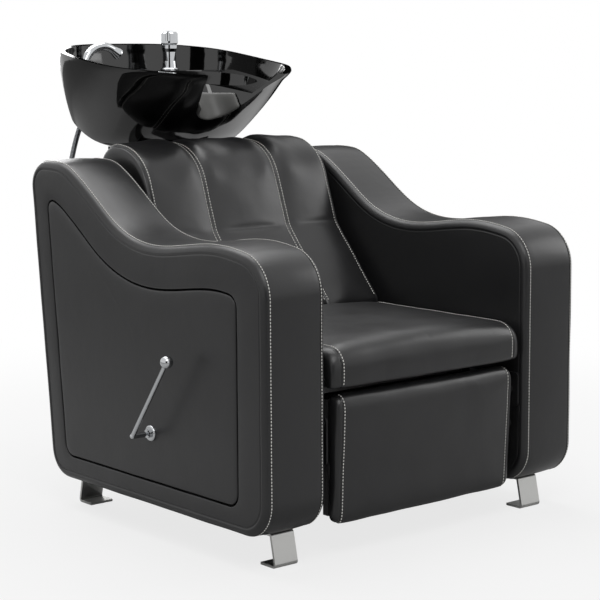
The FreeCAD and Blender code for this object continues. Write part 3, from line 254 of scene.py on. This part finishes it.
def zinc():
    """Bright zinc plating on steel, slightly mottled."""
    material, tree, shader, place = finish_material("bright zinc plate", {"Metallic": 1.0})
    mottle_size = 6 * MM
    mottle = node(tree, "ShaderNodeTexNoise", {"Scale": 1 / mottle_size, "Detail": 3.0}, {"Vector": place})
    shade = node(tree, "ShaderNodeMix", {mix_first: colour("#96999d"), mix_second: colour("#bfc2c6")},
                 {mix_share: mottle.outputs["Fac"]}, data_type="RGBA")
    rough = node(tree, "ShaderNodeMapRange", {"To Min": 0.25, "To Max": 0.4},
                 {"Value": mottle.outputs["Fac"]})
    dress(tree, shader, shade.outputs[mix_result], rough.outputs["Result"])
    return material


def nylon():
    """Turned natural nylon: waxy, with faint lathe lines."""
    material, tree, shader, place = finish_material("turned nylon", {"Base Color": colour("#cfcdc4")})
    lathe_step = 1.5 * MM
    lines = node(tree, "ShaderNodeTexNoise", {"Scale": 1 / lathe_step}, {"Vector": place})
    rough = node(tree, "ShaderNodeMapRange", {"To Min": 0.4, "To Max": 0.55},
                 {"Value": lines.outputs["Fac"]})
    dress(tree, shader, None, rough.outputs["Result"])
    return material


def soft_rubber():
    """Moulded grey silicone rubber: satin, with slight dust and wear in tone."""
    material, tree, shader, place = finish_material("moulded grey silicone", {"IOR": 1.42})
    cloud_size = 45.45 * MM
    cloud = node(tree, "ShaderNodeTexNoise", {"Scale": 1 / cloud_size, "Detail": 4.0}, {"Vector": place})
    shade = node(tree, "ShaderNodeMix", {mix_first: colour("#4c4c4b"), mix_second: colour("#5e5e5c")},
                 {mix_share: cloud.outputs["Fac"]}, data_type="RGBA")
    rough = node(tree, "ShaderNodeMapRange", {"To Min": 0.34, "To Max": 0.46},
                 {"Value": cloud.outputs["Fac"]})
    dress(tree, shader, shade.outputs[mix_result], rough.outputs["Result"])
    return material


def hose_steel():
    """Interlocked stainless strip round a rubber hose: rings 3 mm apart, with painted shade in the grooves.
    """
    material, tree, shader, place = finish_material("interlocked steel strip", {"Metallic": 1.0})
    ring_pitch = 3 * MM
    # The phase in radians that a wave texture of scale 1 turns through in each metre
    wave_phase = 20
    # The stretch of hose that shows hangs nearly straight down, so its rings are level bands
    rings = node(tree, "ShaderNodeTexWave", {"Scale": 2 * math.pi / (wave_phase * ring_pitch)},
                 {"Vector": place}, bands_direction="Z")
    # Painted shade: the grooves between the rings take the darker colour and the crests the lighter one
    shade = node(tree, "ShaderNodeMix", {mix_first: colour("#4d4e50"), mix_second: colour("#8d8f92")},
                 {mix_share: rings.outputs["Fac"]}, data_type="RGBA")
    bump = node(tree, "ShaderNodeBump", {"Strength": 0.8, "Distance": 0.8 * MM},
                {"Height": rings.outputs["Fac"]})
    rough = node(tree, "ShaderNodeMapRange", {"To Min": 0.42, "To Max": 0.24},
                 {"Value": rings.outputs["Fac"]})
    dress(tree, shader, shade.outputs[mix_result], rough.outputs["Result"], bump.outputs[0])
    return material


def black_plastic():
    """Moulded black polyamide with a fine spark-eroded texture."""
    material, tree, shader, place = finish_material(
        "moulded black polyamide", {"Base Color": colour("#161616")})
    spark_size = 1.2 * MM
    spark = node(tree, "ShaderNodeTexNoise", {"Scale": 1 / spark_size}, {"Vector": place})
    bump = node(tree, "ShaderNodeBump", {"Strength": 0.2, "Distance": 0.15 * MM},
                {"Height": spark.outputs["Fac"]})
    rough = node(tree, "ShaderNodeMapRange", {"To Min": 0.45, "To Max": 0.6},
                 {"Value": spark.outputs["Fac"]})
    dress(tree, shader, None, rough.outputs["Result"], bump.outputs[0])
    return material


finishes = {"leatherette": leatherette(), "board": lining(), "satin_steel": satin_steel(),
            "frame_paint": powder_coat(), "nylon": nylon(), "zinc": zinc(), "chrome": chrome(),
            "glazed_black": glaze(), "grey_rubber": soft_rubber(), "hose_steel": hose_steel(),
            "black_plastic": black_plastic()}
sewing_thread = thread()

for part in frame["record"]["subparts"]:
    for material_slot in frame["nodes"][part["node"]].material_slots:
        material_slot.material = finishes[part["material_slot"]]


# Shared steps

weld_distance = 0.01 * MM
cut_merge = 0.001 * MM


def make_piece(bm, name, body, slot, material=None, nodes=()):
    """Turns a bmesh into a smooth piece that rides on a body and stands for the given nodes."""
    mesh = bpy.data.meshes.new(name)
    bm.to_mesh(mesh)
    bm.free()
    mesh.shade_smooth()
    mesh.materials.append(material or finishes[slot])
    piece = add_object(name, mesh)
    if body:
        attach(piece, body)
    if nodes:
        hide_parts(*nodes)
    return piece


def node_copy(name):
    """A merged copy of a node's mesh."""
    bm = bmesh.new()
    bm.from_mesh(frame["nodes"][name].data)
    bmesh.ops.remove_doubles(bm, verts=bm.verts, dist=weld_distance)
    return bm


def piece_copy(piece):
    """A copy of a piece's mesh."""
    bm = bmesh.new()
    bm.from_mesh(piece.data)
    return bm


def evaluated_mesh(thing):
    """An object's mesh with its modifiers applied."""
    return bpy.data.meshes.new_from_object(thing.evaluated_get(bpy.context.evaluated_depsgraph_get()))


def remesh_smoothly(piece, voxel, turns):
    """Remeshes a piece in voxels and smooths it the given number of times."""
    remesh = piece.modifiers.new("remesh", "REMESH")
    remesh.mode = "VOXEL"
    remesh.voxel_size = voxel
    piece.data = evaluated_mesh(piece)
    piece.modifiers.clear()
    bm = piece_copy(piece)
    for turn in range(turns):
        bmesh.ops.smooth_vert(bm, verts=bm.verts, factor=0.5, use_axis_x=True, use_axis_y=True,
                              use_axis_z=True)
    bm.to_mesh(piece.data)
    bm.free()


def cut_across(bm, x, merge):
    """Cuts a mesh with the plane at x and gives the cut's parts."""
    return bmesh.ops.bisect_plane(bm, geom=bm.verts[:] + bm.edges[:] + bm.faces[:], dist=merge,
                                  plane_co=(x, 0, 0), plane_no=(1, 0, 0))["geom_cut"]


def cut_loops(bm, x):
    """The closed loops in which the plane at x cuts a mesh, the longest first. The mesh is used up."""
    edges = [item for item in cut_across(bm, x, cut_merge) if isinstance(item, bmesh.types.BMEdge)]
    neighbours = {}
    for edge in edges:
        one, two = edge.verts
        neighbours.setdefault(one, []).append(two)
        neighbours.setdefault(two, []).append(one)
    loops = []
    seen = set()
    for start in neighbours:
        if start in seen:
            continue
        loop = []
        here = start
        while here is not None:
            seen.add(here)
            loop.append(here.co.copy())
            here = next((other for other in neighbours[here] if other not in seen), None)
        loops.append(loop)
    bm.free()
    return sorted(loops, key=lambda loop: -line_length(loop + loop[:1]))


def line_length(points):
    """The length of a line through points."""
    return sum((after - before).length for before, after in zip(points, points[1:]))


def even_points(line, count):
    """Points spaced evenly along a line, its two ends among them."""
    steps = [(after - before).length for before, after in zip(line, line[1:])]
    total = sum(steps)
    spacing = total / (count - 1)
    made = []
    index = 0
    walked = 0.0
    for turn in range(count):
        target = min(turn * spacing, total)
        while index < len(steps) - 1 and walked + steps[index] < target:
            walked += steps[index]
            index += 1
        share = (target - walked) / steps[index] if steps[index] else 0.0
        made.append(line[index].lerp(line[index + 1], max(0.0, min(1.0, share))))
    return made


def kept_run(loop, keep):
    """The longest unbroken run of a closed loop's points that pass a test."""
    start = next((index for index, point in enumerate(loop) if not keep(point)), 0)
    turned = loop[start:] + loop[:start]
    runs = [[]]
    for point in turned:
        if keep(point):
            runs[-1].append(point)
        elif runs[-1]:
            runs.append([])
    return max(runs, key=len)


def bridge(bm, rings):
    """Skins rings of points, each as long as the next, and closes both ends."""
    made = []
    for ring in rings:
        verts = [bm.verts.new(point) for point in ring]
        edges = [bm.edges.new((verts[index - 1], verts[index])) for index in range(len(verts))]
        made.append((verts, edges))
    for (_, before), (_, after) in zip(made, made[1:]):
        bmesh.ops.bridge_loops(bm, edges=before + after)
    for verts, _ in (made[0], made[-1]):
        face = bm.faces.new(verts)
        bmesh.ops.poke(bm, faces=[face])
    bmesh.ops.recalc_face_normals(bm, faces=bm.faces)


def ripple(bm, size, height):
    """Gives hand-stretched leather its slight unevenness."""
    bm.normal_update()
    moves = [(vert, vert.normal * noise.noise(vert.co / size) * height) for vert in bm.verts]
    for vert, move in moves:
        vert.co += move


def seam_lines(cover, places, keep):
    """The lines in which planes at the given x cut a cover, as far as their points pass a test."""
    return [kept_run(cut_loops(piece_copy(cover), x)[0], keep) for x in places]


stitch_pitch = 6.2 * MM
stitch_long = 4.6 * MM
stitch_radius = 1.15 * MM
stitch_flatness = 0.7
stitch_rise = 0.25


def stitches(name, body, piece, lines):
    """Rows of lockstitch in heavy thread that lie on a piece along lines of points."""
    tree = BVHTree.FromObject(piece, bpy.context.evaluated_depsgraph_get())
    shape = bmesh.new()
    bmesh.ops.create_uvsphere(shape, u_segments=6, v_segments=5, radius=1.0)
    stitch = bpy.data.meshes.new("stitch")
    bm = bmesh.new()
    for line in lines:
        places = even_points(line, max(3, round(line_length(line) / stitch_pitch)))
        for before, after in zip(places, places[1:]):
            spot, normal, _, _ = tree.find_nearest((before + after) / 2)
            along = (after - before).normalized()
            across = along.cross(normal).normalized()
            turn = Matrix((across * stitch_radius, normal * stitch_radius * stitch_flatness,
                           along * stitch_long / 2))
            shape.to_mesh(stitch)
            stitch.transform(Matrix.Translation(spot + normal * stitch_radius * stitch_rise)
                             @ turn.transposed().to_4x4())
            bm.from_mesh(stitch)
    shape.free()
    bpy.data.meshes.remove(stitch)
    make_piece(bm, name, body, "leatherette", sewing_thread)


# Arms: a boxing strip wrapped over a rounded band, sewn to the side faces, and an inset panel

arm_ring_counts = (110, 240, 90, 110)
outline_cut = 19 * MM
edge_radius = 16 * MM
edge_swell = 0.5 * MM
edge_steps = 8
flat_inset = edge_radius + 5.0 * MM
seam_depth = 2.2 * MM
strip_crown = 2.0 * MM
strip_rows = 5
stitch_from_side = 12 * MM
stitch_crease = 1.3 * MM
lip_radius = 2.6 * MM
lip_steps = 4
lip_angles = [math.radians(90 * turn / lip_steps) for turn in range(1, lip_steps + 1)]
pocket_depth = 8 * MM
pocket_gap = 3.4 * MM


def side_ring(loop, counts):
    """An outline from its low front corner up and over, with set counts of points between corners."""
    spots = [min(range(len(loop)), key=lambda at: loop[at].y + loop[at].z),
             min(range(len(loop)), key=lambda at: loop[at].y - loop[at].z),
             max(range(len(loop)), key=lambda at: loop[at].y + loop[at].z),
             max(range(len(loop)), key=lambda at: loop[at].y - loop[at].z)]
    turned = loop[spots[0]:] + loop[:spots[0]]
    spots = [(spot - spots[0]) % len(loop) for spot in spots]
    if spots[1] > spots[3]:
        turned = turned[:1] + turned[:0:-1]
        spots = [(len(loop) - spot) % len(loop) for spot in spots]
    closed = turned + turned[:1]
    ring = []
    for start, end, count in zip(spots, spots[1:] + [len(turned)], counts):
        ring += even_points(closed[start:end + 1], count + 1)[:-1]
    return ring


def outward(ring):
    """The way out of an outline at each of its points."""
    ways = []
    for index, point in enumerate(ring):
        step = ring[(index + 2) % len(ring)] - ring[index - 2]
        ways.append(Vector((0, -step.z, step.y)).normalized())
    return ways


def moved_ring(ring, ways, x, inset):
    """An outline moved to x and drawn in by an inset."""
    return [Vector((x, point.y - way.y * inset, point.z - way.z * inset))
            for point, way in zip(ring, ways)]


def shrunk_ring(ring, x, share):
    """An outline moved to x and shrunk round its middle."""
    centre = sum(ring, Vector()) / len(ring)
    return [Vector((x, centre.y + (point.y - centre.y) * share, centre.z + (point.z - centre.z) * share))
            for point in ring]


def band(side, toward_strip):
    """The (x from the middle, inset) steps of the rounded band, from the side face to the strip."""
    # The side face's rim, the seam's groove and the foot of the rounded edge
    steps = [(arm_half - 0.3 * MM, flat_inset), (arm_half - 0.4 * MM, edge_radius + 3.2 * MM),
             (arm_half - seam_depth, edge_radius + 1.8 * MM),
             (arm_half + 0.2 * MM, edge_radius - 0.4 * MM)]
    for turn in range(1, edge_steps):
        angle = math.radians(90 - 90 * turn / edge_steps)
        steps.append((arm_half - edge_radius + (edge_radius + edge_swell) * math.sin(angle),
                      edge_radius - (edge_radius + edge_swell) * math.cos(angle)))
    # The crease that the stitches pull into the strip
    crease = arm_half - stitch_from_side - 1.6 * MM
    steps += [(crease + 1.2 * MM, 0.3 * MM), (crease, stitch_crease), (crease - 1.2 * MM, 0.4 * MM)]
    steps = [(x * side, inset) for x, inset in steps]
    return steps if toward_strip else steps[::-1]


def arm(side_name, side):
    """One arm's cover, its inset panel and its stitching."""
    node_name = "arm_" + side_name + "_body"
    panel_name = "arm_" + side_name + "_side_panel"
    low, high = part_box(node_name)
    centre_x = (low.x + high.x) / 2
    inner_x = centre_x - side * arm_half
    outline = cut_loops(node_copy(node_name), inner_x + side * outline_cut)[0]
    ring = side_ring(outline, arm_ring_counts)
    ways = outward(ring)
    panel_low, panel_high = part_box(panel_name)
    panel_loop = cut_loops(node_copy(panel_name), (panel_low.x + panel_high.x) / 2)[0]
    panel_ring = side_ring(panel_loop, arm_ring_counts)
    panel_ways = outward(panel_ring)

    # The cover, from the middle of the inner face over the strip to the outer face and into the pocket
    rings = []
    face = moved_ring(ring, ways, 0, flat_inset)
    for share, sink in ((0.15, 0.27), (0.45, 0.15), (0.8, 0.09)):
        rings.append(shrunk_ring(face, centre_x - side * (arm_half - sink * MM), share))
    for x, inset in band(-side, True):
        rings.append(moved_ring(ring, ways, centre_x + x, inset))
    strip_half = arm_half - stitch_from_side - 4.0 * MM
    for row in range(-strip_rows, strip_rows + 1):
        across = row / strip_rows
        rings.append(moved_ring(ring, ways, centre_x + side * strip_half * across,
                                0.2 * MM - strip_crown * (1 - across ** 2)))
    for x, inset in band(side, False):
        rings.append(moved_ring(ring, ways, centre_x + x, inset))
    lip = moved_ring(panel_ring, panel_ways, 0, -pocket_gap - lip_radius)
    for share, rise in ((0.2, 0.3), (0.4, 0.6), (0.65, 0.8), (0.85, 0.7), (1.0, 0.2)):
        x = centre_x + side * (arm_half + (rise - 0.3) * MM)
        rings.append([Vector((x, *start.lerp(end, share).yz)) for start, end in zip(face, lip)])
    for angle in lip_angles:
        rings.append(moved_ring(panel_ring, panel_ways,
                                centre_x + side * (arm_half - lip_radius * (1 - math.cos(angle))),
                                -pocket_gap - lip_radius * (1 - math.sin(angle))))
    floor_x = centre_x + side * (arm_half - pocket_depth)
    rings.append(moved_ring(panel_ring, panel_ways, floor_x, -pocket_gap))
    bm = bmesh.new()
    bridge(bm, rings)
    ripple(bm, 90 * MM, 0.8 * MM)
    cover = make_piece(bm, "arm_" + side_name + "_cover", "chair", "leatherette", nodes=(node_name,))

    # The inset panel, from the pocket's floor over its rounded rim to its crowned middle
    rings = [moved_ring(panel_ring, panel_ways, floor_x + side * 0.3 * MM, 0.3 * MM),
             moved_ring(panel_ring, panel_ways, floor_x + side * (pocket_depth - lip_radius), 0)]
    for angle in lip_angles:
        rings.append(moved_ring(panel_ring, panel_ways,
                                centre_x + side * (arm_half - lip_radius * (1 - math.sin(angle))),
                                lip_radius * (1 - math.cos(angle))))
    inner = rings[-1]
    for share, rise in ((0.97, 0.3), (0.9, 0.8), (0.7, 1.2), (0.4, 1.4), (0.15, 1.5)):
        rings.append(shrunk_ring(inner, centre_x + side * (arm_half + rise * MM), share))
    bm = bmesh.new()
    bridge(bm, rings)
    ripple(bm, 70 * MM, 0.6 * MM)
    panel = make_piece(bm, "arm_" + side_name + "_panel_cover", "chair", "leatherette",
                       nodes=(panel_name,))

    stitch_reach = arm_half - stitch_from_side
    stitches("arm_" + side_name + "_stitching", "chair", cover,
             seam_lines(cover, [centre_x + stitch_reach, centre_x - stitch_reach],
                        lambda point: point.z > arm_low.z + 6 * MM))


arm("left", 1)
arm("right", -1)


# Cushions: remeshed, inflated as cloth between their seams, then creased along the seams

cushion_shrink = 1.0 * MM
cushion_voxel = 6 * MM
cushion_smoothing = 4
pressure = 4.0
pressed_frames = 20
held_beside_seam = 4 * MM
crease_width = 2.0 * MM
crease_reach = 4
rows_beside_seam = (-5, -2.5, -1.0, 0, 1.0, 2.5, 5)
row_merge = 0.05 * MM


def inflate(blank, held, cap):
    """Blows a remeshed cushion up as cloth, its held points pinned and every move capped."""
    scene = bpy.context.scene
    group = blank.vertex_groups.new(name="held")
    group.add([vert.index for vert in blank.data.vertices if held(vert.co)], 1.0, "REPLACE")
    start = [vert.co.copy() for vert in blank.data.vertices]
    cloth = blank.modifiers.new("cloth", "CLOTH")
    settings = cloth.settings
    settings.quality = 4
    settings.mass = 0.4
    settings.tension_stiffness = 20
    settings.compression_stiffness = 12
    settings.bending_stiffness = 1.2
    settings.use_pressure = True
    settings.uniform_pressure_force = pressure
    settings.vertex_group_mass = "held"
    settings.effector_weights.gravity = 0
    cloth.collision_settings.use_collision = False
    for step in range(1, pressed_frames + 1):
        scene.frame_set(step)
    puffed = evaluated_mesh(blank)
    blank.modifiers.clear()
    for vert, old, new in zip(blank.data.vertices, start, puffed.vertices):
        move = new.co - old
        vert.co = old + (move if move.length < cap else move.normalized() * cap)
    scene.frame_set(1)


def cushion(node_name, body, held, cap, seams, crease):
    """A padded cover in the place of a node, with creases along the planes x = seam."""
    bm = node_copy(node_name)
    bm.normal_update()
    for vert in bm.verts:
        vert.co -= vert.normal * cushion_shrink
    mesh = bpy.data.meshes.new(node_name + "_blank")
    bm.to_mesh(mesh)
    bm.free()
    blank = add_object(node_name + "_blank", mesh)
    remesh_smoothly(blank, cushion_voxel, cushion_smoothing)
    inflate(blank, held, cap)
    finer = blank.modifiers.new("finer", "SUBSURF")
    finer.levels = 1
    finer.render_levels = 1
    bm = bmesh.new()
    bm.from_mesh(evaluated_mesh(blank))
    bpy.data.objects.remove(blank)
    for seam in seams:
        for beside in rows_beside_seam:
            cut_across(bm, seam + beside * MM, row_merge)
    bm.normal_update()
    for vert in bm.verts:
        for seam in seams:
            off = (vert.co.x - seam) / crease_width
            if abs(off) < crease_reach:
                vert.co -= vert.normal * crease * math.exp(-off * off)
    ripple(bm, 60 * MM, 1.0 * MM)
    cover = make_piece(bm, node_name + "_cover", body, "leatherette", nodes=(node_name,))
    return cover


# Seat
seat_low, seat_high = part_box("seat_cushion")
_, board_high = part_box("seat_board")
seat_half = (seat_high.x - seat_low.x) / 2
seat_seam = seat_half - 23 * MM
seat_stitch = seat_seam - 4 * MM


def seat_is_held(point):
    """Whether a point of the seat lies on its board, in a seam or on its end faces."""
    side = abs(point.x - middle_x)
    on_board = point.z < board_high.z + 8 * MM
    return on_board or abs(side - seat_seam) < held_beside_seam or side > seat_half - 6 * MM


seat = cushion("seat_cushion", "chair", seat_is_held, 7 * MM,
               [middle_x - seat_seam, middle_x + seat_seam], 1.8 * MM)
stitches("seat_stitching", "chair", seat,
         seam_lines(seat, [middle_x - seat_stitch, middle_x + seat_stitch],
                    lambda point: point.z > seat_low.z + 8 * MM))

# Backrest, sewn into three channels
back_low, back_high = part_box("back_cushion")
back_half = (back_high.x - back_low.x) / 2
channel = 100 * MM
back_edge = back_half - 10 * MM
back_stitch = 5 * MM


def back_is_held(point):
    """Whether a point of the backrest lies in a seam or on its end faces."""
    side = abs(point.x - middle_x)
    beside = min(abs(side - channel), abs(side - back_edge))
    return beside < held_beside_seam or side > back_half - 5 * MM


back = cushion("back_cushion", "chair", back_is_held, 4 * MM,
               [middle_x + side * place for side in (-1, 1) for place in (channel, back_edge)], 2.2 * MM)
stitches("back_stitching", "chair", back,
         seam_lines(back, [middle_x + side * place for side in (-1, 1)
                           for place in (channel - back_stitch, channel + back_stitch,
                                         back_edge - back_stitch)],
                    lambda point: point.z > seat_high.z))

# Leg rest
leg_low, leg_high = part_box("leg_rest_cushion")
leg_half = (leg_high.x - leg_low.x) / 2
leg_seam = leg_half - 16 * MM
leg_stitch = leg_seam - 3 * MM


def leg_is_held(point):
    """Whether a point of the leg rest's cushion lies on its board or in a seam."""
    side = abs(point.x - middle_x)
    return point.y > leg_high.y - 10 * MM or abs(side - leg_seam) < held_beside_seam


leg_rest = cushion("leg_rest_cushion", "leg_rest", leg_is_held, 5 * MM,
                   [middle_x - leg_seam, middle_x + leg_seam], 1.6 * MM)
stitches("leg_rest_stitching", "leg_rest", leg_rest,
         seam_lines(leg_rest, [middle_x - leg_stitch, middle_x + leg_stitch],
                    lambda point: point.y < leg_high.y - 12 * MM))


# Shower hose, from the hand shower's foot down, under the basin and up to the tap's tail

hose_radius = 6 * MM
hose_route = ((-0.129, 0.4415, 0.869), (-0.129, 0.4415, 0.838), (-0.125, 0.4525, 0.803),
              (-0.136, 0.4645, 0.768), (-0.149, 0.4735, 0.706), (-0.160, 0.4785, 0.642),
              (-0.162, 0.4785, 0.576), (-0.146, 0.4745, 0.514), (-0.108, 0.4685, 0.466),
              (-0.054, 0.4625, 0.440), (0.006, 0.4585, 0.438), (0.062, 0.4555, 0.460),
              (0.104, 0.4525, 0.502), (0.127, 0.4495, 0.558), (0.133, 0.4475, 0.620),
              (0.129, 0.4465, 0.682), (0.118, 0.4455, 0.742), (0.107, 0.4445, 0.798),
              (0.102, 0.4445, 0.844), (0.102, 0.4445, 0.863))
hose_steps = 12


def nurbs_line(name, route, steps):
    """A curve whose control points are a route's points."""
    curve = bpy.data.curves.new(name, "CURVE")
    curve.dimensions = "3D"
    spline = curve.splines.new("NURBS")
    spline.points.add(len(route) - 1)
    for point, place in zip(spline.points, route):
        point.co = (*place, 1.0)
    spline.order_u = 3
    spline.use_endpoint_u = True
    spline.resolution_u = steps
    return bpy.data.objects.new(name, curve)


bare_line = nurbs_line("hose_line", hose_route, hose_steps)
hose_line = [vert.co.copy() for vert in bpy.data.meshes.new_from_object(bare_line).vertices]
thick_line = nurbs_line("hose_tube", hose_route, hose_steps)
thick_line.data.bevel_depth = hose_radius
thick_line.data.bevel_resolution = 5
thick_line.data.use_fill_caps = True
bm = bmesh.new()
bm.from_mesh(bpy.data.meshes.new_from_object(thick_line))
bpy.data.objects.remove(bare_line)
bpy.data.objects.remove(thick_line)
hose = make_piece(bm, "hose", None, "hose_steel", nodes=("shower_hose",))
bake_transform(hose)


# Neck rest, remeshed so that its edges round over as moulded rubber does

neck_rest_voxel = 2.5 * MM
neck_rest_smoothing = 40

neck_rest = make_piece(node_copy("neck_rest"), "neck_rest_moulding", "basin_unit", "grey_rubber",
                       nodes=("neck_rest",))
remesh_smoothly(neck_rest, neck_rest_voxel, neck_rest_smoothing)
neck_rest.data.shade_smooth()


# Studio: a pale floor, a white surround and soft lamps

floor_size = 24.0
# How far from the object the floor starts and ends fading to white, and its share of white before that
fade_start = 0.9
fade_end = 2.2
floor_white = 0.78

bm = bmesh.new()
bmesh.ops.create_grid(bm, x_segments=1, y_segments=1, size=floor_size / 2)
floor_mesh = bpy.data.meshes.new("floor")
bm.to_mesh(floor_mesh)
bm.free()
floor_material = bpy.data.materials.new("pale floor")
tree = bare_tree(floor_material)
# Near the object the floor shows its shadow, and further out it fades to the white surround
rays = node(tree, "ShaderNodeLightPath")
place = node(tree, "ShaderNodeTexCoord").outputs["Object"]
away = node(tree, "ShaderNodeVectorMath", links={0: place}, operation="LENGTH")
white_share = node(tree, "ShaderNodeMapRange",
                   {"From Min": fade_start, "From Max": fade_end, "To Min": floor_white, "To Max": 1.0},
                   {"Value": away.outputs["Value"]}, interpolation_type="SMOOTHSTEP")
matt = node(tree, "ShaderNodeBsdfDiffuse", {"Color": colour("#d8d8d8")})
white = node(tree, "ShaderNodeEmission", {"Color": (1, 1, 1, 1), "Strength": 1.0})
seen = node(tree, "ShaderNodeMath",
            links={0: rays.outputs["Is Camera Ray"], 1: white_share.outputs["Result"]},
            operation="MULTIPLY")
mixed = node(tree, "ShaderNodeMixShader",
             links={0: seen.outputs[0], 1: matt.outputs[0], 2: white.outputs[0]})
node(tree, "ShaderNodeOutputMaterial", links={"Surface": mixed.outputs[0]})
floor_mesh.materials.append(floor_material)
floor = add_object("floor", floor_mesh)

# The surround is white to the camera and in reflections, and lights the object more dimly
surround_light = 0.27
world = bpy.data.worlds.new("white studio")
bpy.context.scene.world = world
tree = bare_tree(world)
rays = node(tree, "ShaderNodeLightPath")
direct = node(tree, "ShaderNodeMath",
              links={0: rays.outputs["Is Camera Ray"], 1: rays.outputs["Is Glossy Ray"]},
              operation="MAXIMUM")
shown = node(tree, "ShaderNodeMath",
             links={0: direct.outputs[0], 1: rays.outputs["Is Transmission Ray"]}, operation="MAXIMUM")
strength = node(tree, "ShaderNodeMapRange", {"To Min": surround_light, "To Max": 1.0},
                {"Value": shown.outputs[0]})
background = node(tree, "ShaderNodeBackground", {"Color": (1, 1, 1, 1)}, {"Strength": strength.outputs[0]})
node(tree, "ShaderNodeOutputWorld", links={"Surface": background.outputs[0]})

felt = bpy.data.materials.new("black felt")
tree = bare_tree(felt)
fibres = node(tree, "ShaderNodeBsdfDiffuse", {"Color": colour("#101010")})
node(tree, "ShaderNodeOutputMaterial", links={"Surface": fibres.outputs[0]})


def black_card(name, place, half_size):
    """A card of black felt that only glossy surfaces mirror, turned to the object."""
    bm = bmesh.new()
    bmesh.ops.create_grid(bm, x_segments=1, y_segments=1, size=half_size)
    turn = (-place).to_track_quat("Z", "Y").to_matrix().to_4x4()
    bmesh.ops.transform(bm, matrix=Matrix.Translation(place) @ turn, verts=bm.verts)
    mesh = bpy.data.meshes.new(name)
    bm.to_mesh(mesh)
    bm.free()
    mesh.materials.append(felt)
    card = add_object(name, mesh)
    card.visible_camera = False
    card.visible_shadow = False
    card.visible_diffuse = False


front_card_place = camera_place * 1.7
rear_card_place = Vector((-camera_place.x * 1.3, -camera_place.y * 1.3, 1.5))
black_card("black_card_front", front_card_place, 1.6)
black_card("black_card_behind", rear_card_place, 1.5)

lamp_aim = Vector((0, 0, 0.5))


def softbox(name, place, size, power):
    """A square lamp of a size in metres and a power in watts that points at the object's middle."""
    data = bpy.data.lights.new(name, "AREA")
    data.size = size
    data.energy = power
    light = add_object(name, data)
    light.matrix_world = (Matrix.Translation(place)
                          @ (lamp_aim - Vector(place)).to_track_quat("-Z", "Y").to_matrix().to_4x4())


softbox("key softbox", (-1.4, -2.2, 3.0), 1.6, 30)
softbox("top softbox", (0.1, 0.7, 3.0), 2.4, 58)
softbox("right softbox", (2.6, -1.4, 1.8), 1.4, 16)
softbox("rear softbox", (0.9, 3.4, 1.6), 1.6, 34)

bpy.context.scene.view_settings.view_transform = "Standard"
